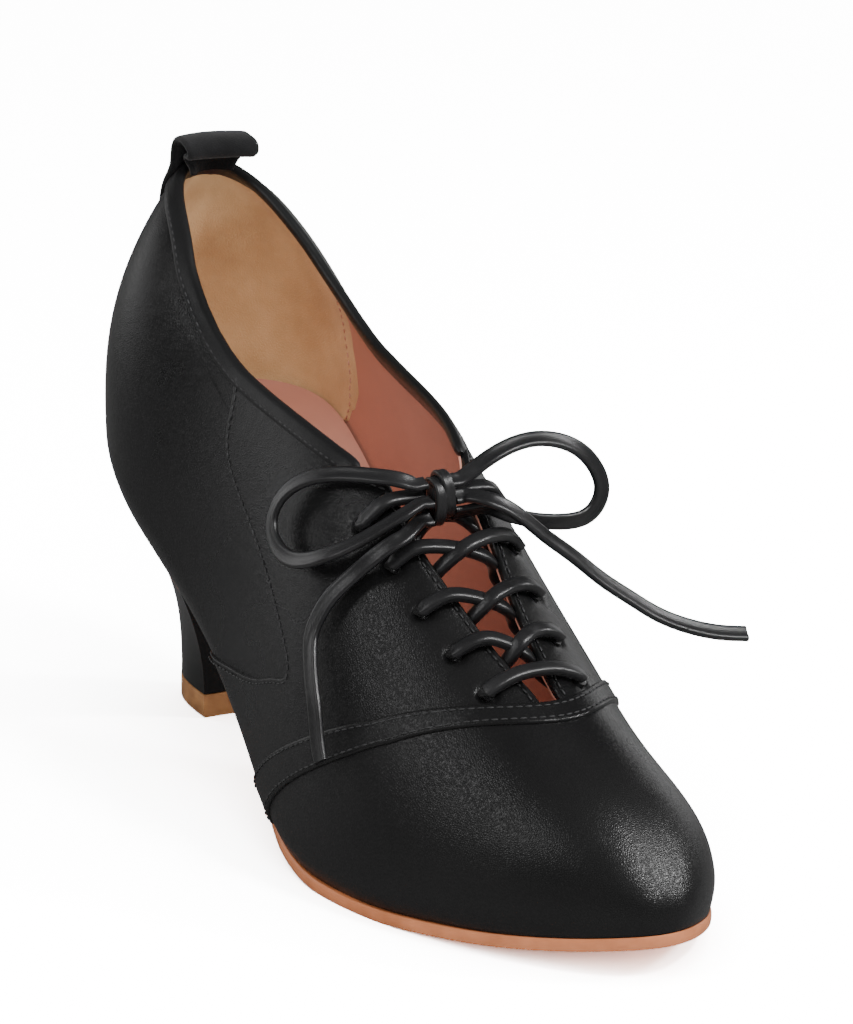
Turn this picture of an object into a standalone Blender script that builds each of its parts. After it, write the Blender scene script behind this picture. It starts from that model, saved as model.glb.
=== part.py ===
"""Right shoe of a pair of women's heeled oxfords: black leather, covered heel, laces tied in a bow.

Every surface is read from one last function.  Lengths are written in millimetres and turned into metres
where an object is made.  x runs from the back of the heel to the toe, -y is the lateral side, +y the
medial side, z is up from the floor.
"""
import math

import bpy
import numpy as np

for thing in list(bpy.data.objects):
    bpy.data.objects.remove(thing, do_unlink=True)

MM = 0.001

# Driving sizes, mm
LENGTH = 236.0          # back of the upper to its toe, along the floor
FAN_X = 40.0            # the heel cup starts to round off behind this x
TIP_X = 196.0           # the toe starts to round off in plan after this x
TIP_TOP_X = 209.0       # the toe starts to fall in side view after this x
TOE_POWER = 2.4         # squareness of the toe curve
CUP_POWER = 2.6         # squareness of the heel cup in plan
TUCK, TUCK_RISE = 2.6, 9.0   # the upper turns in by TUCK over its lowest TUCK_RISE
TUCK_TOE = 1.0               # and by this much at the toe
TOE_RUN = [190.0, 225.0]     # x over which the shoe's lower edge changes to that of the toe
WALL = 1.7              # leather and lining together
LAP = 0.75              # one lapped layer of leather
GAP = 0.3               # clearance between pieces that lie on each other
ORIGIN_X, ORIGIN_Y = 116.5, -1.05   # point under the middle of the shoe, its free laces left out

# x, half width lateral, half width medial, centre y, ridge z, squareness of the section
SECTIONS = [
    (0, 31.0, 29.0, -3.0, 147, 3.2),
    (20, 33.0, 30.0, -3.0, 139, 3.15),
    (40, 33.0, 30.0, -3.0, 129.5, 3.0),
    (60, 31.0, 29.0, -2.5, 122, 2.75),
    (80, 31.0, 29.5, -2.0, 118.5, 2.5),
    (100, 34.0, 32.0, -1.5, 113.5, 2.2),
    (130, 39.5, 38.0, -2.0, 95.5, 1.95),
    (158, 41.0, 41.0, -0.5, 71.5, 1.85),
    (185, 37.0, 35.5, 3.0, 53.5, 1.9),
    (210, 28.5, 28.9, 6.5, 40.5, 2.45),
    (236, 17.5, 20.0, 7.5, 30.3, 3.1),
]
# x, feather line height on the centre, rise of the feather line on the medial side
FEATHER = [
    (0, 71.0, 0.0),
    (20, 68.0, 2.0),
    (46, 57.0, 4.5),
    (60, 48.5, 5.0),
    (75, 38.5, 5.0),
    (90, 28.5, 4.5),
    (105, 19.2, 3.4),
    (120, 11.2, 2.0),
    (133, 6.3, 0.8),
    (145, 4.0, 0.2),
    (155, 3.5, 0.0),
    (170, 3.5, 0.0),
    (185, 4.3, 0.0),
    (205, 6.3, 0.0),
    (222, 9.0, 0.0),
    (236, 12.0, 0.0),
]
# height above the feather line, x of the back seam
BACK = [(0, 4.0), (12, -0.5), (26, -2.5), (42, 0.5), (56, 5.0), (70, 9.0), (90, 14.0)]
# x, height of the topline
TOPLINE = [(8, 140.5), (20, 136.0), (35, 127.0), (45, 118.5), (57, 110.5), (72, 105.5), (90, 102.5),
           (110, 99.5), (134, 94.0)]


def curve(xs, ys):
    """Natural cubic through the points."""
    xs, ys = np.array(xs, float), np.array(ys, float)
    n, h = len(xs), np.diff(xs)
    a, r = np.eye(n), np.zeros(n)
    for i in range(1, n - 1):
        a[i, i - 1:i + 2] = [h[i - 1], 2 * (h[i - 1] + h[i]), h[i]]
        r[i] = 6 * ((ys[i + 1] - ys[i]) / h[i] - (ys[i] - ys[i - 1]) / h[i - 1])
    m = np.linalg.solve(a, r)

    def f(x):
        x = np.clip(np.asarray(x, float), xs[0], xs[-1])
        i = np.clip(np.searchsorted(xs, x) - 1, 0, n - 2)
        p, q, d = xs[i + 1] - x, x - xs[i], h[i]
        return ((m[i] * p ** 3 + m[i + 1] * q ** 3) / (6 * d)
                + (ys[i] / d - m[i] * d / 6) * p + (ys[i + 1] / d - m[i + 1] * d / 6) * q)
    return f


def columns(rows):
    """One curve per column, each over the first column."""
    xs = [row[0] for row in rows]
    return [curve(xs, [row[k] for row in rows]) for k in range(1, len(rows[0]))]


WIDTH_LAT, WIDTH_MED, CENTRE, RIDGE, SQUARE = columns(SECTIONS)
FEATHER_Z, FEATHER_RISE = columns(FEATHER)
BACK_X, = columns(BACK)
TOP_Z, = columns(TOPLINE)


def last(s, v):
    """Point of the last.  s is -1 at the back seam, 0 where the cup starts, 1 at the toe; v is -1 on the
    lateral feather line, 0 on the ridge, 1 on the medial feather line.  Also gives the height above the
    feather line."""
    s, v = np.broadcast_arrays(np.asarray(s, float), np.asarray(v, float))
    side = np.where(v < 0, -1.0, 1.0)
    rise = np.sin((1 - np.abs(v)) * math.pi / 2)
    xb = BACK_X((RIDGE(0) - FEATHER_Z(0)) * rise)
    back = np.sin(np.clip(-s, 0, 1) * math.pi / 2)
    x = np.where(s < 0, FAN_X - (FAN_X - xb) * back,
                 FAN_X + (LENGTH - FAN_X) * np.sin(np.clip(s, 0, 1) * math.pi / 2))
    cup = np.sqrt(np.maximum(0, 1 - back ** CUP_POWER))
    tip = np.sqrt(np.maximum(0, 1 - np.clip((x - TIP_X) / (LENGTH - TIP_X), 0, 1) ** TOE_POWER))
    fall = np.sqrt(np.maximum(0, 1 - np.clip((x - TIP_TOP_X) / (LENGTH - TIP_TOP_X), 0, 1) ** TOE_POWER))
    across = np.sqrt(np.maximum(0, 1 - rise ** SQUARE(x)))
    width = np.where(side < 0, WIDTH_LAT(x), WIDTH_MED(x))
    low = FEATHER_Z(x) + FEATHER_RISE(x) * side * cup
    above = (RIDGE(x) - low) * fall * rise
    return np.stack([x, CENTRE(x) + side * width * cup * tip * across, low + above], -1), above


def normal(s, v, e=2e-3):
    """Outward unit normal of the last."""
    s = np.clip(s, -1 + 1e-6, 0.985)
    v = np.asarray(v, float)
    keep = np.where(v < 0, -1.0, 1.0)
    v = np.where(np.abs(v) < 1e-9, 1e-9 * keep, v)
    along = last(s + e, v)[0] - last(np.maximum(s - e, -1), v)[0]
    over = last(s, np.minimum(v + e, 1))[0] - last(s, np.maximum(v - e, -1))[0]
    n = np.cross(along, over)
    return n / np.maximum(np.linalg.norm(n, axis=-1, keepdims=True), 1e-12)


def skin(s, v, out=0.0):
    """Point of the upper's outer face moved outward by out."""
    p, above = last(s, v)
    n = normal(s, v)
    level = n.copy()
    level[..., 2] = 0
    level /= np.maximum(np.linalg.norm(level, axis=-1, keepdims=True), 1e-9)
    turn = np.interp(p[..., 0], TOE_RUN, [TUCK, TUCK_TOE]) * np.clip(1 - above / TUCK_RISE, 0, 1) ** 2
    return p - turn[..., None] * level + out * n


def at(x, y, out=0.0):
    """Point of the upper's outer face over plan position x, y."""
    s = np.arcsin(np.clip((x - FAN_X) / (LENGTH - FAN_X), 0, 1)) * 2 / math.pi
    side = -1.0 if y < CENTRE(x) else 1.0
    lo, hi = 0.0, 1.0
    for _ in range(40):
        mid = (lo + hi) / 2
        lo, hi = (mid, hi) if side * (last(s, side * mid)[0][1] - y) < 0 else (lo, mid)
    return skin(np.array(s), np.array(side * hi), out)


def bed(x, y):
    """Height of the surface the foot bed lies on."""
    off = y - CENTRE(x)
    width = np.where(off < 0, WIDTH_LAT(x), WIDTH_MED(x)) - TUCK
    return FEATHER_Z(x) + FEATHER_RISE(x) * off / width


def rim(s, side, out, drop=0.0):
    """Point in plan beside the feather line, out of it by out, and drop above the bed."""
    p = skin(s, side)
    n = normal(s, side * 0.999)
    n[..., 2] = 0
    n = np.where((np.abs(s) > 0.999)[..., None], np.array([1.0, 0, 0]) * np.sign(s)[..., None], n)
    n /= np.linalg.norm(n, axis=-1, keepdims=True)
    p = p + np.asarray(out)[..., None] * n
    p[..., 2] = bed(p[..., 0], p[..., 1]) + drop
    return p


def layer(s, out, drop):
    """Lateral edge, centre and medial edge of one level, a row per station."""
    side = np.ones_like(s)
    lat, med = rim(s, -side, out, drop), rim(s, side, out, drop)
    mid = (lat + med) / 2
    mid[:, 1] = np.clip(CENTRE(mid[:, 0]), lat[:, 1], med[:, 1])
    mid[:, 2] = bed(mid[:, 0], mid[:, 1]) + drop
    return np.stack([lat, mid, med], 1)


# Helpers that make objects
PARTS = bpy.data.collections.new("parts")
CUTTERS = bpy.data.collections.new("cutters")
bpy.context.scene.collection.children.link(PARTS)
bpy.context.scene.collection.children.link(CUTTERS)


def material(name, colour, rough, metal=0.0):
    m = bpy.data.materials.new(name)
    m.use_nodes = True
    shader = m.node_tree.nodes["Principled BSDF"]
    shader.inputs["Base Color"].default_value = (*colour, 1)
    shader.inputs["Roughness"].default_value = rough
    shader.inputs["Metallic"].default_value = metal
    return m


def body(name, points, faces, mat, home=PARTS):
    """Closed body from points in mm; equal points are merged and faces turned outward."""
    points = np.array(points, float)
    keys, index, kept = {}, [], []
    for p in points:
        key = tuple(np.round(p, 4))
        if key not in keys:
            keys[key] = len(kept)
            kept.append(p)
        index.append(keys[key])
    clean = []
    for face in faces:
        ring = [index[i] for i in face]
        ring = [a for i, a in enumerate(ring) if a != ring[i - 1]]
        if len(ring) > 2:
            clean.append(ring)
    kept = np.array(kept)
    volume = 0.0
    for ring in clean:
        for i in range(1, len(ring) - 1):
            volume += np.dot(kept[ring[0]], np.cross(kept[ring[i]], kept[ring[i + 1]]))
    if volume < 0:
        clean = [ring[::-1] for ring in clean]
    place = (kept - np.array([ORIGIN_X, ORIGIN_Y, 0])) * MM
    mesh = bpy.data.meshes.new(name)
    mesh.from_pydata(place.tolist(), [], clean)
    mesh.materials.append(mat)
    mesh.validate()
    thing = bpy.data.objects.new(name, mesh)
    home.objects.link(thing)
    return thing


def slab(name, layers, mat):
    """Body from levels, top first, each an array of stations by lateral, centre, medial."""
    a = np.array(layers)
    many, n = a.shape[:2]

    def i(k, m, c):
        return (k * n + m) * 3 + c
    faces = []
    for m in range(n - 1):
        for c in (0, 1):
            faces.append([i(0, m, c), i(0, m + 1, c), i(0, m + 1, c + 1), i(0, m, c + 1)])
            e = many - 1
            faces.append([i(e, m, c + 1), i(e, m + 1, c + 1), i(e, m + 1, c), i(e, m, c)])
    for k in range(many - 1):
        for m in range(n - 1):
            faces.append([i(k, m + 1, 0), i(k, m, 0), i(k + 1, m, 0), i(k + 1, m + 1, 0)])
            faces.append([i(k, m, 2), i(k, m + 1, 2), i(k + 1, m + 1, 2), i(k + 1, m, 2)])
        for c in (0, 1):
            faces.append([i(k, 0, c), i(k, 0, c + 1), i(k + 1, 0, c + 1), i(k + 1, 0, c)])
            faces.append([i(k, n - 1, c + 1), i(k, n - 1, c), i(k + 1, n - 1, c), i(k + 1, n - 1, c + 1)])
    return body(name, a.reshape(-1, 3), faces, mat)


def smooth_path(points, step):
    """Points along a centripetal curve through the given ones, about step apart."""
    pts = np.array(points, float)
    t = np.concatenate([[0], np.cumsum(np.linalg.norm(np.diff(pts, axis=0), axis=1) ** 0.5)])
    axes = [curve(t, pts[:, k]) for k in range(3)]
    fine = np.linspace(0, t[-1], 400)
    dense = np.stack([f(fine) for f in axes], 1)
    run = np.concatenate([[0], np.cumsum(np.linalg.norm(np.diff(dense, axis=0), axis=1))])
    even = np.linspace(0, run[-1], max(3, int(round(run[-1] / step)) + 1))
    return np.stack([np.interp(even, run, dense[:, k]) for k in range(3)], 1)


def tube(name, points, radius, mat, step, sides):
    """Round lace along a smooth path, made a mesh with closed ends."""
    path = smooth_path(points, step)
    data = bpy.data.curves.new(name, "CURVE")
    data.dimensions = "3D"
    data.bevel_depth = radius * MM
    data.bevel_resolution = sides
    data.use_fill_caps = True
    line = data.splines.new("POLY")
    line.points.add(len(path) - 1)
    for point, p in zip(line.points, path):
        point.co = ((p[0] - ORIGIN_X) * MM, (p[1] - ORIGIN_Y) * MM, p[2] * MM, 1)
    thing = bpy.data.objects.new(name, data)
    thing.data.materials.append(mat)
    PARTS.objects.link(thing)
    return thing


# Materials
BLACK = material("black_leather", (0.012, 0.012, 0.013), 0.36)
HEEL_BLACK = material("heel_cover_leather", (0.014, 0.014, 0.015), 0.32)
SUEDE = material("black_suede", (0.008, 0.008, 0.009), 0.95)
TAN = material("tan_sole_leather", (0.42, 0.15, 0.06), 0.5)
LIFT_TAN = material("tan_lift_leather", (0.36, 0.17, 0.07), 0.55)
PINK = material("pink_lining_leather", (0.55, 0.19, 0.14), 0.55)
LACE = material("black_lace_leather", (0.011, 0.011, 0.012), 0.42)
BINDING = material("collar_binding_leather", (0.012, 0.012, 0.013), 0.4)

# distance from the ridge as |v|, s of the back edge of the front quarter, s of the vamp band's upper
# edge, width of the band in s
SEAMS = [
    (0.00, 0.020, 0.530, 0.029),
    (0.30, 0.050, 0.491, 0.029),
    (0.45, 0.096, 0.452, 0.030),
    (0.52, 0.138, 0.431, 0.031),
    (0.57, 0.200, 0.415, 0.032),
    (0.61, 0.284, 0.400, 0.033),
    (0.66, 0.298, 0.380, 0.035),
    (0.76, 0.258, 0.336, 0.038),
    (0.86, 0.192, 0.288, 0.040),
    (0.94, 0.135, 0.254, 0.041),
    (1.00, 0.105, 0.236, 0.042),
]
QUARTER_EDGE, BAND_TOP, BAND_WIDTH = columns([(-row[0], *row[1:]) for row in SEAMS[:0:-1]] + SEAMS)
# x, half width of the gap between the facings
SLIT = [(122, 10.5), (146, 9.0), (158, 6.6), (170, 4.7), (182, 2.7)]
SLIT_X, SLIT_HALF = [row[0] for row in SLIT], [row[1] for row in SLIT]
STEP = 0.0012                                      # width of a lap's edge, in s
# layers of leather on each run of columns between two seams, and where its columns stand
RUNS = [
    (0, np.concatenate([np.linspace(0, 0.9, 13), [0.93, 0.955, 0.98, 1.0]])),
    (1, np.concatenate([np.linspace(0, 0.5, 10), np.linspace(0.57, 1, 6)])),
    (2, np.linspace(0, 1, 3)),
    (1, np.concatenate([[0, 0.035, 0.075], np.linspace(0.13, 1, 12)])),
]
ROWS = [0.0, 0.035, 0.08, 0.14, 0.21, 0.28, 0.35, 0.42, 0.49, 0.56, 0.63, 0.72, 0.81, 0.905, 1.0]
BINDING_W, BINDING_H = 3.0, 2.2


def seam(k, v):
    """s of seam k at v: 0 the back, 1 quarter edge, 2 band top, 3 band foot, 4 the toe."""
    v = np.abs(v)
    top = BAND_TOP(v)
    return [-1.0 + 0 * v, QUARTER_EDGE(v), top, top + BAND_WIDTH(v), 1.0 + 0 * v][k]


def column_s(run, part, v):
    a, b = seam(run, v), seam(run + 1, v)
    return np.minimum(a + (STEP if run and part == 0 else 0) + (b - a) * part, b)


def opening_v(run, part, side, lower=0.0):
    """|v| where a column meets the collar or the gap, or 0 on the ridge."""
    if run > 1:
        return 0.0
    lo, hi = 0.0, 1.0
    for _ in range(36):
        mid = (lo + hi) / 2
        p = last(column_s(run, part, mid), side * mid)[0]
        half = np.interp(p[0], SLIT_X, SLIT_HALF)
        cut = p[0] < 134 and p[2] > TOP_Z(p[0]) - lower
        cut = cut or (p[0] > 100 and abs(p[1] - CENTRE(p[0])) < half)
        lo, hi = (mid, hi) if cut else (lo, mid)
    return hi


def upper_columns():
    return [(run, part, layers) for run, (layers, parts) in enumerate(RUNS) for part in parts]


def build_upper():
    cols = upper_columns()
    open_cols = sum(1 for run, part, layers in cols if run < 2)
    points, index, faces = [], {}, []
    tops = {(side, k): opening_v(run, part, side, BINDING_H)
            for side in (-1, 1) for k, (run, part, layers) in enumerate(cols)}

    def vert(face, side, k, j):
        k_last, j_top = len(cols) - 1, len(ROWS) - 1
        if k == k_last:
            side, j = 0, 0
        elif k == 0 or (k >= open_cols and j == j_top):
            side = 0
        key = (face, side, k, j)
        if key not in index:
            run, part, layers = cols[k]
            use = side or -1
            top = tops[use, k]
            v = (1 + (top - 1) * ROWS[j]) * use
            s = column_s(run, part, v)
            out = LAP * layers if face == "out" else -WALL
            if k == k_last:
                p = skin(np.array(1.0), np.array(-1.0)) + np.array([out, 0, 0])
            else:
                p = skin(s, np.array(v), out)
            if j == 0:
                p[2] = bed(p[0], p[1])
            index[key] = len(points)
            points.append(p)
        return index[key]
    for side in (-1, 1):
        for k in range(len(cols) - 1):
            for j in range(len(ROWS) - 1):
                for face in ("out", "in"):
                    ring = [vert(face, side, k, j), vert(face, side, k + 1, j),
                            vert(face, side, k + 1, j + 1), vert(face, side, k, j + 1)]
                    faces.append(ring if (side < 0) == (face == "out") else ring[::-1])
            edge = [vert("out", side, k, 0), vert("in", side, k, 0),
                    vert("in", side, k + 1, 0), vert("out", side, k + 1, 0)]
            faces.append(edge if side < 0 else edge[::-1])
            if k < open_cols:
                j = len(ROWS) - 1
                edge = [vert("out", side, k + 1, j), vert("in", side, k + 1, j),
                        vert("in", side, k, j), vert("out", side, k, j)]
                faces.append(edge if side < 0 else edge[::-1])
    return body("upper", points, faces, BLACK)


upper = build_upper()

# x of each pair of eyelets from the toe back, distance from the gap's middle
EYELETS = [(177.5, 12.3), (166.0, 13.5), (154.5, 15.0), (143.0, 16.2), (131.5, 18.2)]
HOLE = 2.0              # radius of a punched eyelet
holes = []
for i, (x, off) in enumerate(EYELETS):
    for side in (-1, 1):
        y = float(CENTRE(x)) + side * off
        a, b = at(x, y, -6.0), at(x, y, 6.0)
        axis = (b - a) / np.linalg.norm(b - a)
        across = np.cross(axis, [1.0, 0, 0])
        across /= np.linalg.norm(across)
        other = np.cross(axis, across)
        ring = [across * math.cos(t) + other * math.sin(t) for t in np.arange(8) * math.pi / 4 + 0.2]
        pts = [a + HOLE * d for d in ring] + [b + HOLE * d for d in ring]
        sides = [[k, (k + 1) % 8, 8 + (k + 1) % 8, 8 + k] for k in range(8)]
        cutter = body("eyelet_cut_%d_%s" % (i + 1, "lat" if side < 0 else "med"), pts,
                      sides + [list(range(7, -1, -1)), list(range(8, 16))], BLACK, CUTTERS)
        cutter.hide_render = True
        cutter.display_type = "WIRE"
        cut = upper.modifiers.new(cutter.name, "BOOLEAN")
        cut.operation, cut.solver, cut.object = "DIFFERENCE", "EXACT", cutter

# insole: a heel pad that thins to a plain sock
HEEL_S = -np.sin(np.linspace(math.pi / 2, 0, 11))
SOLE_S = np.concatenate([
    np.arcsin((np.arange(45.6, 176, 5.0) - FAN_X) / (LENGTH - FAN_X)) * 2 / math.pi,
    np.linspace(0.51, 1, 14)])
BREAST_S = SOLE_S[0]
stations = np.concatenate([HEEL_S, SOLE_S])
insole_x = rim(stations, -1.0 + 0 * stations, 0 * stations)[:, 0]
pad = np.interp(insole_x, [60, 105], [4.4, 2.2])
inset = -(WALL + GAP + 0.2) + 0 * stations
spread = np.interp(insole_x, [15, 60, 105, 180, 205, 230], [2.4, 2.2, 0.6, 0.2, -0.7, -1.2])
sock = layer(stations, inset + spread, pad)
cup = np.interp(insole_x, [30, 60, 105], [5.0, 4.5, 0.0])     # its edges turn up round the heel
sock[:, 0, 2] += cup
sock[:, 2, 2] += cup
sock[:, 1, 2] += cup * np.clip(1 - (insole_x - insole_x.min()) / 14, 0, 1) ** 2
slab("insole", [sock, layer(stations, inset, 0.0)], PINK)

# outsole: inset under the waist, proud of the upper round the forefoot, flat on the floor at the ball
sole_s = SOLE_S
sole_x = rim(sole_s, 1.0 + 0 * sole_s, 0 * sole_s)[:, 0]
proud = np.interp(sole_x, [100, 128, 150] + TOE_RUN, [-1.2, 0.9, 1.7, 1.7, 1.1])
thick = np.interp(sole_x, [46, 115], [2.4, 3.3])
sole_top = layer(sole_s, proud, -GAP)
sole_low = layer(sole_s, proud - 0.3, 0.0)
sole_low[:, :, 2] = np.maximum(sole_low[:, :, 2] - GAP - thick[:, None], 0.0)
slab("outsole", [sole_top, sole_low], TAN)

# heel: lofted from the seat to a small D, with a flat breast, and its top lift under it
HEEL_Z, LIFT_Z = 6.3, 6.0
LIFT_BREAST, LIFT_DEPTH, LIFT_HALF, LIFT_Y = 31.5, 22.0, 9.4, -1.0
heel_s = np.concatenate([HEEL_S, [BREAST_S - 0.002]])
turn_t = np.linspace(math.pi / 2, 0, len(heel_s))


def d_ring(z, grow):
    """Level D outline of the heel, a row per station from the back to the breast."""
    x = LIFT_BREAST - LIFT_DEPTH * np.sin(turn_t) ** 0.85
    y = (LIFT_HALF + grow) * np.abs(np.cos(turn_t)) ** 0.75
    x = np.where(turn_t > 1.57, LIFT_BREAST - LIFT_DEPTH - grow, x)
    y = np.where(turn_t > 1.57, 0.0, y)
    flat = np.full_like(x, z)
    return np.stack([np.stack([x, LIFT_Y - y, flat], 1), np.stack([x, LIFT_Y + 0 * y, flat], 1),
                     np.stack([x, LIFT_Y + y, flat], 1)], 1)


seat = layer(heel_s, -0.6 + 0 * heel_s, -GAP - 0.25)
foot = d_ring(HEEL_Z, 0.0)
levels = []
for f in (0.0, 0.07, 0.16, 0.28, 0.42, 0.6, 0.8, 1.0):
    g = 1 - (1 - f) ** 1.75
    ring = seat * (1 - g) + foot * g
    ring[:, :, 2] = seat[:, :, 2] * (1 - f) + HEEL_Z * f
    levels.append(ring)
slab("heel_block", levels, HEEL_BLACK)
slab("top_lift", [d_ring(LIFT_Z, 0.1), d_ring(0.0, -0.1)], LIFT_TAN)

# collar binding: a rounded roll on the wall's edge, from facing to facing round the back
BIND_RING = [(-1.0, 0.0), (-1.0, 0.55), (-0.55, 1.0), (0.55, 1.0), (1.0, 0.55), (1.0, 0.0)]


def edge_frame(run, part, side):
    """Wall edge under the binding: middle point, up along the wall, outward."""
    top = opening_v(run, part, side, BINDING_H)
    v = np.array(side * top)
    s = column_s(run, part, top)
    p, n = skin(s, v, -WALL / 2 + LAP * run / 2), normal(s, v)
    up = last(s, side * max(top - 0.02, 0.0))[0] - last(s, side * (top + 0.02))[0]
    up -= n * np.dot(up, n)
    return p, up / np.linalg.norm(up), n


def build_binding():
    frames = []
    for side in (-1, 1):
        run_frames = [edge_frame(0, f, side) for f in RUNS[0][1]]
        for f in RUNS[1][1][1:]:
            p, up, n = edge_frame(1, f, side)
            if p[0] > SLIT_X[0] - 1.0:
                break
            run_frames.append((p, up, n))
        frames.append(run_frames)
    chain = frames[0][::-1] + frames[1][1:]
    rings = []
    for k, (p, up, n) in enumerate(chain):
        ahead = chain[min(k + 1, len(chain) - 1)][0] - chain[max(k - 1, 0)][0]
        ahead /= np.linalg.norm(ahead)
        up = up - ahead * np.dot(up, ahead)
        up /= np.linalg.norm(up)
        out = n - ahead * np.dot(n, ahead) - up * np.dot(n, up)
        out /= np.linalg.norm(out)
        rings.append([p + out * a * BINDING_W / 2 + up * (GAP + b * BINDING_H) for a, b in BIND_RING])
    m = len(BIND_RING)
    faces = [[k * m + i, k * m + (i + 1) % m, (k + 1) * m + (i + 1) % m, (k + 1) * m + i]
             for k in range(len(rings) - 1) for i in range(m)]
    faces += [list(range(m))[::-1], [(len(rings) - 1) * m + i for i in range(m)]]
    return body("collar_binding", np.array(rings).reshape(-1, 3), faces, BINDING)


build_binding()


# laces: punched holes carry a bar, crossings over the gap and a top strand; all stay clear of the upper
R = 1.9
LIFT = LAP + GAP + R


def over(x, off, lift=LIFT):
    """Point above the facings at x, off from the middle of the gap."""
    return at(x, float(CENTRE(x)) + off, lift)


def lace_body(name, paths):
    """Lace runs joined into one body."""
    things = []
    for i, path in enumerate(paths):
        run = tube(name + "_run_%d" % i, path, R, LACE, 4.5, 2)
        mesh = bpy.data.meshes.new_from_object(run.evaluated_get(bpy.context.evaluated_depsgraph_get()))
        bpy.data.objects.remove(run, do_unlink=True)
        thing = bpy.data.objects.new(name if i == 0 else name + "_cut_%d" % i, mesh)
        (PARTS if i == 0 else CUTTERS).objects.link(thing)
        things.append(thing)
    for other in things[1:]:
        other.hide_render = True
        other.display_type = "WIRE"
        fuse = things[0].modifiers.new(other.name, "BOOLEAN")
        fuse.operation, fuse.solver, fuse.object = "UNION", "EXACT", other
    return things[0]


(x1, off1), *rest = EYELETS
lace_body("lace_bar_1", [[over(x1, -off1), over(x1, -off1 / 2), over(x1, 0.0), over(x1, off1 / 2),
                          over(x1, off1)]])
for i in (1, 2, 3):
    (xa, offa), (xb, offb) = EYELETS[i], EYELETS[i - 1]
    paths = []
    for side in (-1, 1):
        half = float(np.interp(xa, SLIT_X, SLIT_HALF))
        x_mid = xa * 0.62 + xb * 0.38
        far = float(np.interp(x_mid, SLIT_X, SLIT_HALF)) - R - 0.7
        dip = over(x_mid + 1.5, side * -far, -0.6)
        rise = 0.6 if side > 0 else -0.8
        paths.append([over(xa, side * offa), over(xa + 0.6, side * (half + offa) / 2),
                      over(xa + 1.6, side * half), over(x_mid, side * far * 0.2, LAP + rise + 1.2), dip])
    lace_body("lace_cross_%d" % (i + 1), paths)

# bow: a knot above the throat; two top strands, two loops and two ends run into its sides
KNOT = (137.2, -3.0, 91.2)
KNOT_HALF = (4.7, 2.9, 6.8)
KNOT_SQUARE = 4.0       # its sides are nearly flat, so that the strands meet them squarely
MEET = 2.4              # length of the straight stretch before the knot
x5, off5 = EYELETS[4]


def from_knot(side, x, z):
    """Three points straight out of the knot's side, the first just clear of it."""
    y = KNOT[1] + side * (KNOT_HALF[1] + GAP)
    return [(x, y + side * MEET * part, z) for part in (0, 0.5, 1)]


for side, word in ((-1, "lateral"), (1, "medial")):
    lace_body("lace_top_" + word, [[
        over(x5, side * off5, LIFT + 0.2), over(x5 + 0.8, side * off5 * 0.85, LIFT + 0.3),
        over(x5 + 1.4, side * off5 * 0.66, LIFT + 0.9)] + from_knot(side, 134.8, 91.3)[1::-1]])

# x, y, z in mm between the knot's side and the free end, or back to the knot; read as smooth curves
BOW = {
    "loop_left": from_knot(-1, 136.4, 95.0) + [
        (134.9, -12.0, 96.1), (129.4, -17.2, 96.2), (122.4, -22.2, 95.2), (114.2, -26.9, 91.8),
        (108.8, -30.7, 86.0), (108.6, -33.0, 79.9), (113.8, -34.2, 75.6), (122.8, -33.8, 75.0),
        (133.3, -30.8, 79.4), (137.8, -24.2, 83.6), (140.0, -17.3, 87.8), (140.7, -12.6, 90.4)]
        + from_knot(-1, 139.5, 91.3)[::-1],
    "loop_right": from_knot(1, 137.4, 95.0) + [
        (138.2, 8.0, 98.6), (138.2, 16.5, 102.1), (137.8, 25.0, 102.3), (137.2, 34.5, 98.5),
        (136.8, 40.5, 92.0), (137.0, 42.0, 85.8), (137.6, 38.5, 81.0), (138.2, 31.0, 80.3),
        (138.9, 21.0, 82.6), (141.6, 12.0, 86.8), (141.9, 7.6, 88.5)]
        + from_knot(1, 139.4, 87.4)[::-1],
    "end_left": from_knot(-1, 139.8, 87.0) + [
        (141.0, -10.4, 87.0), (143.6, -13.4, 86.8), (145.6, -16.8, 85.8), (145.6, -19.8, 84.5),
        (144.0, -23.8, 81.2),
        (140.7, -27.2, 76.4), (138.9, -30.9, 72.3), (137.9, -33.6, 68.5), (138.0, -37.0, 62.0),
        (141.0, -39.0, 57.0), (145.0, -40.6, 52.0), (149.0, -41.8, 47.0), (153.0, -42.9, 40.0),
        (156.0, -43.5, 36.0)],
    "end_right": from_knot(1, 139.6, 91.6) + [
        (144.9, 6.5, 91.8), (147.0, 13.2, 88.0), (146.0, 21.4, 80.9), (143.8, 31.0, 73.2),
        (144.2, 39.0, 66.2), (144.9, 46.5, 60.6), (145.9, 53.5, 55.7), (147.0, 61.5, 51.8),
        (148.1, 69.5, 49.3), (148.7, 77.0, 48.0)],
}
KNOT_ROWS, KNOT_SIDES = 8, 12
ball = []
for a in range(KNOT_ROWS + 1):
    for b in range(KNOT_SIDES):
        t, u = math.pi * a / KNOT_ROWS, 2 * math.pi * b / KNOT_SIDES
        ray = np.array([math.sin(t) * math.cos(u), math.sin(t) * math.sin(u), math.cos(t)])
        reach = np.sum(np.abs(ray / np.array(KNOT_HALF)) ** KNOT_SQUARE) ** (-1 / KNOT_SQUARE)
        ball.append(np.array(KNOT) + ray * reach)
body("bow_knot", ball, [[a * KNOT_SIDES + b, a * KNOT_SIDES + (b + 1) % KNOT_SIDES,
                         (a + 1) * KNOT_SIDES + (b + 1) % KNOT_SIDES, (a + 1) * KNOT_SIDES + b]
                        for a in range(KNOT_ROWS) for b in range(KNOT_SIDES)], LACE)
for name, points in BOW.items():
    tube("bow_" + name, points, R, LACE, 5.0, 2)

# pull tab: a suede strap up the back seam that loops forward over the collar and ends inside it
TAB_HALF, TAB_THICK = 9.0, 1.5
TAB_Y = -3.0


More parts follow.
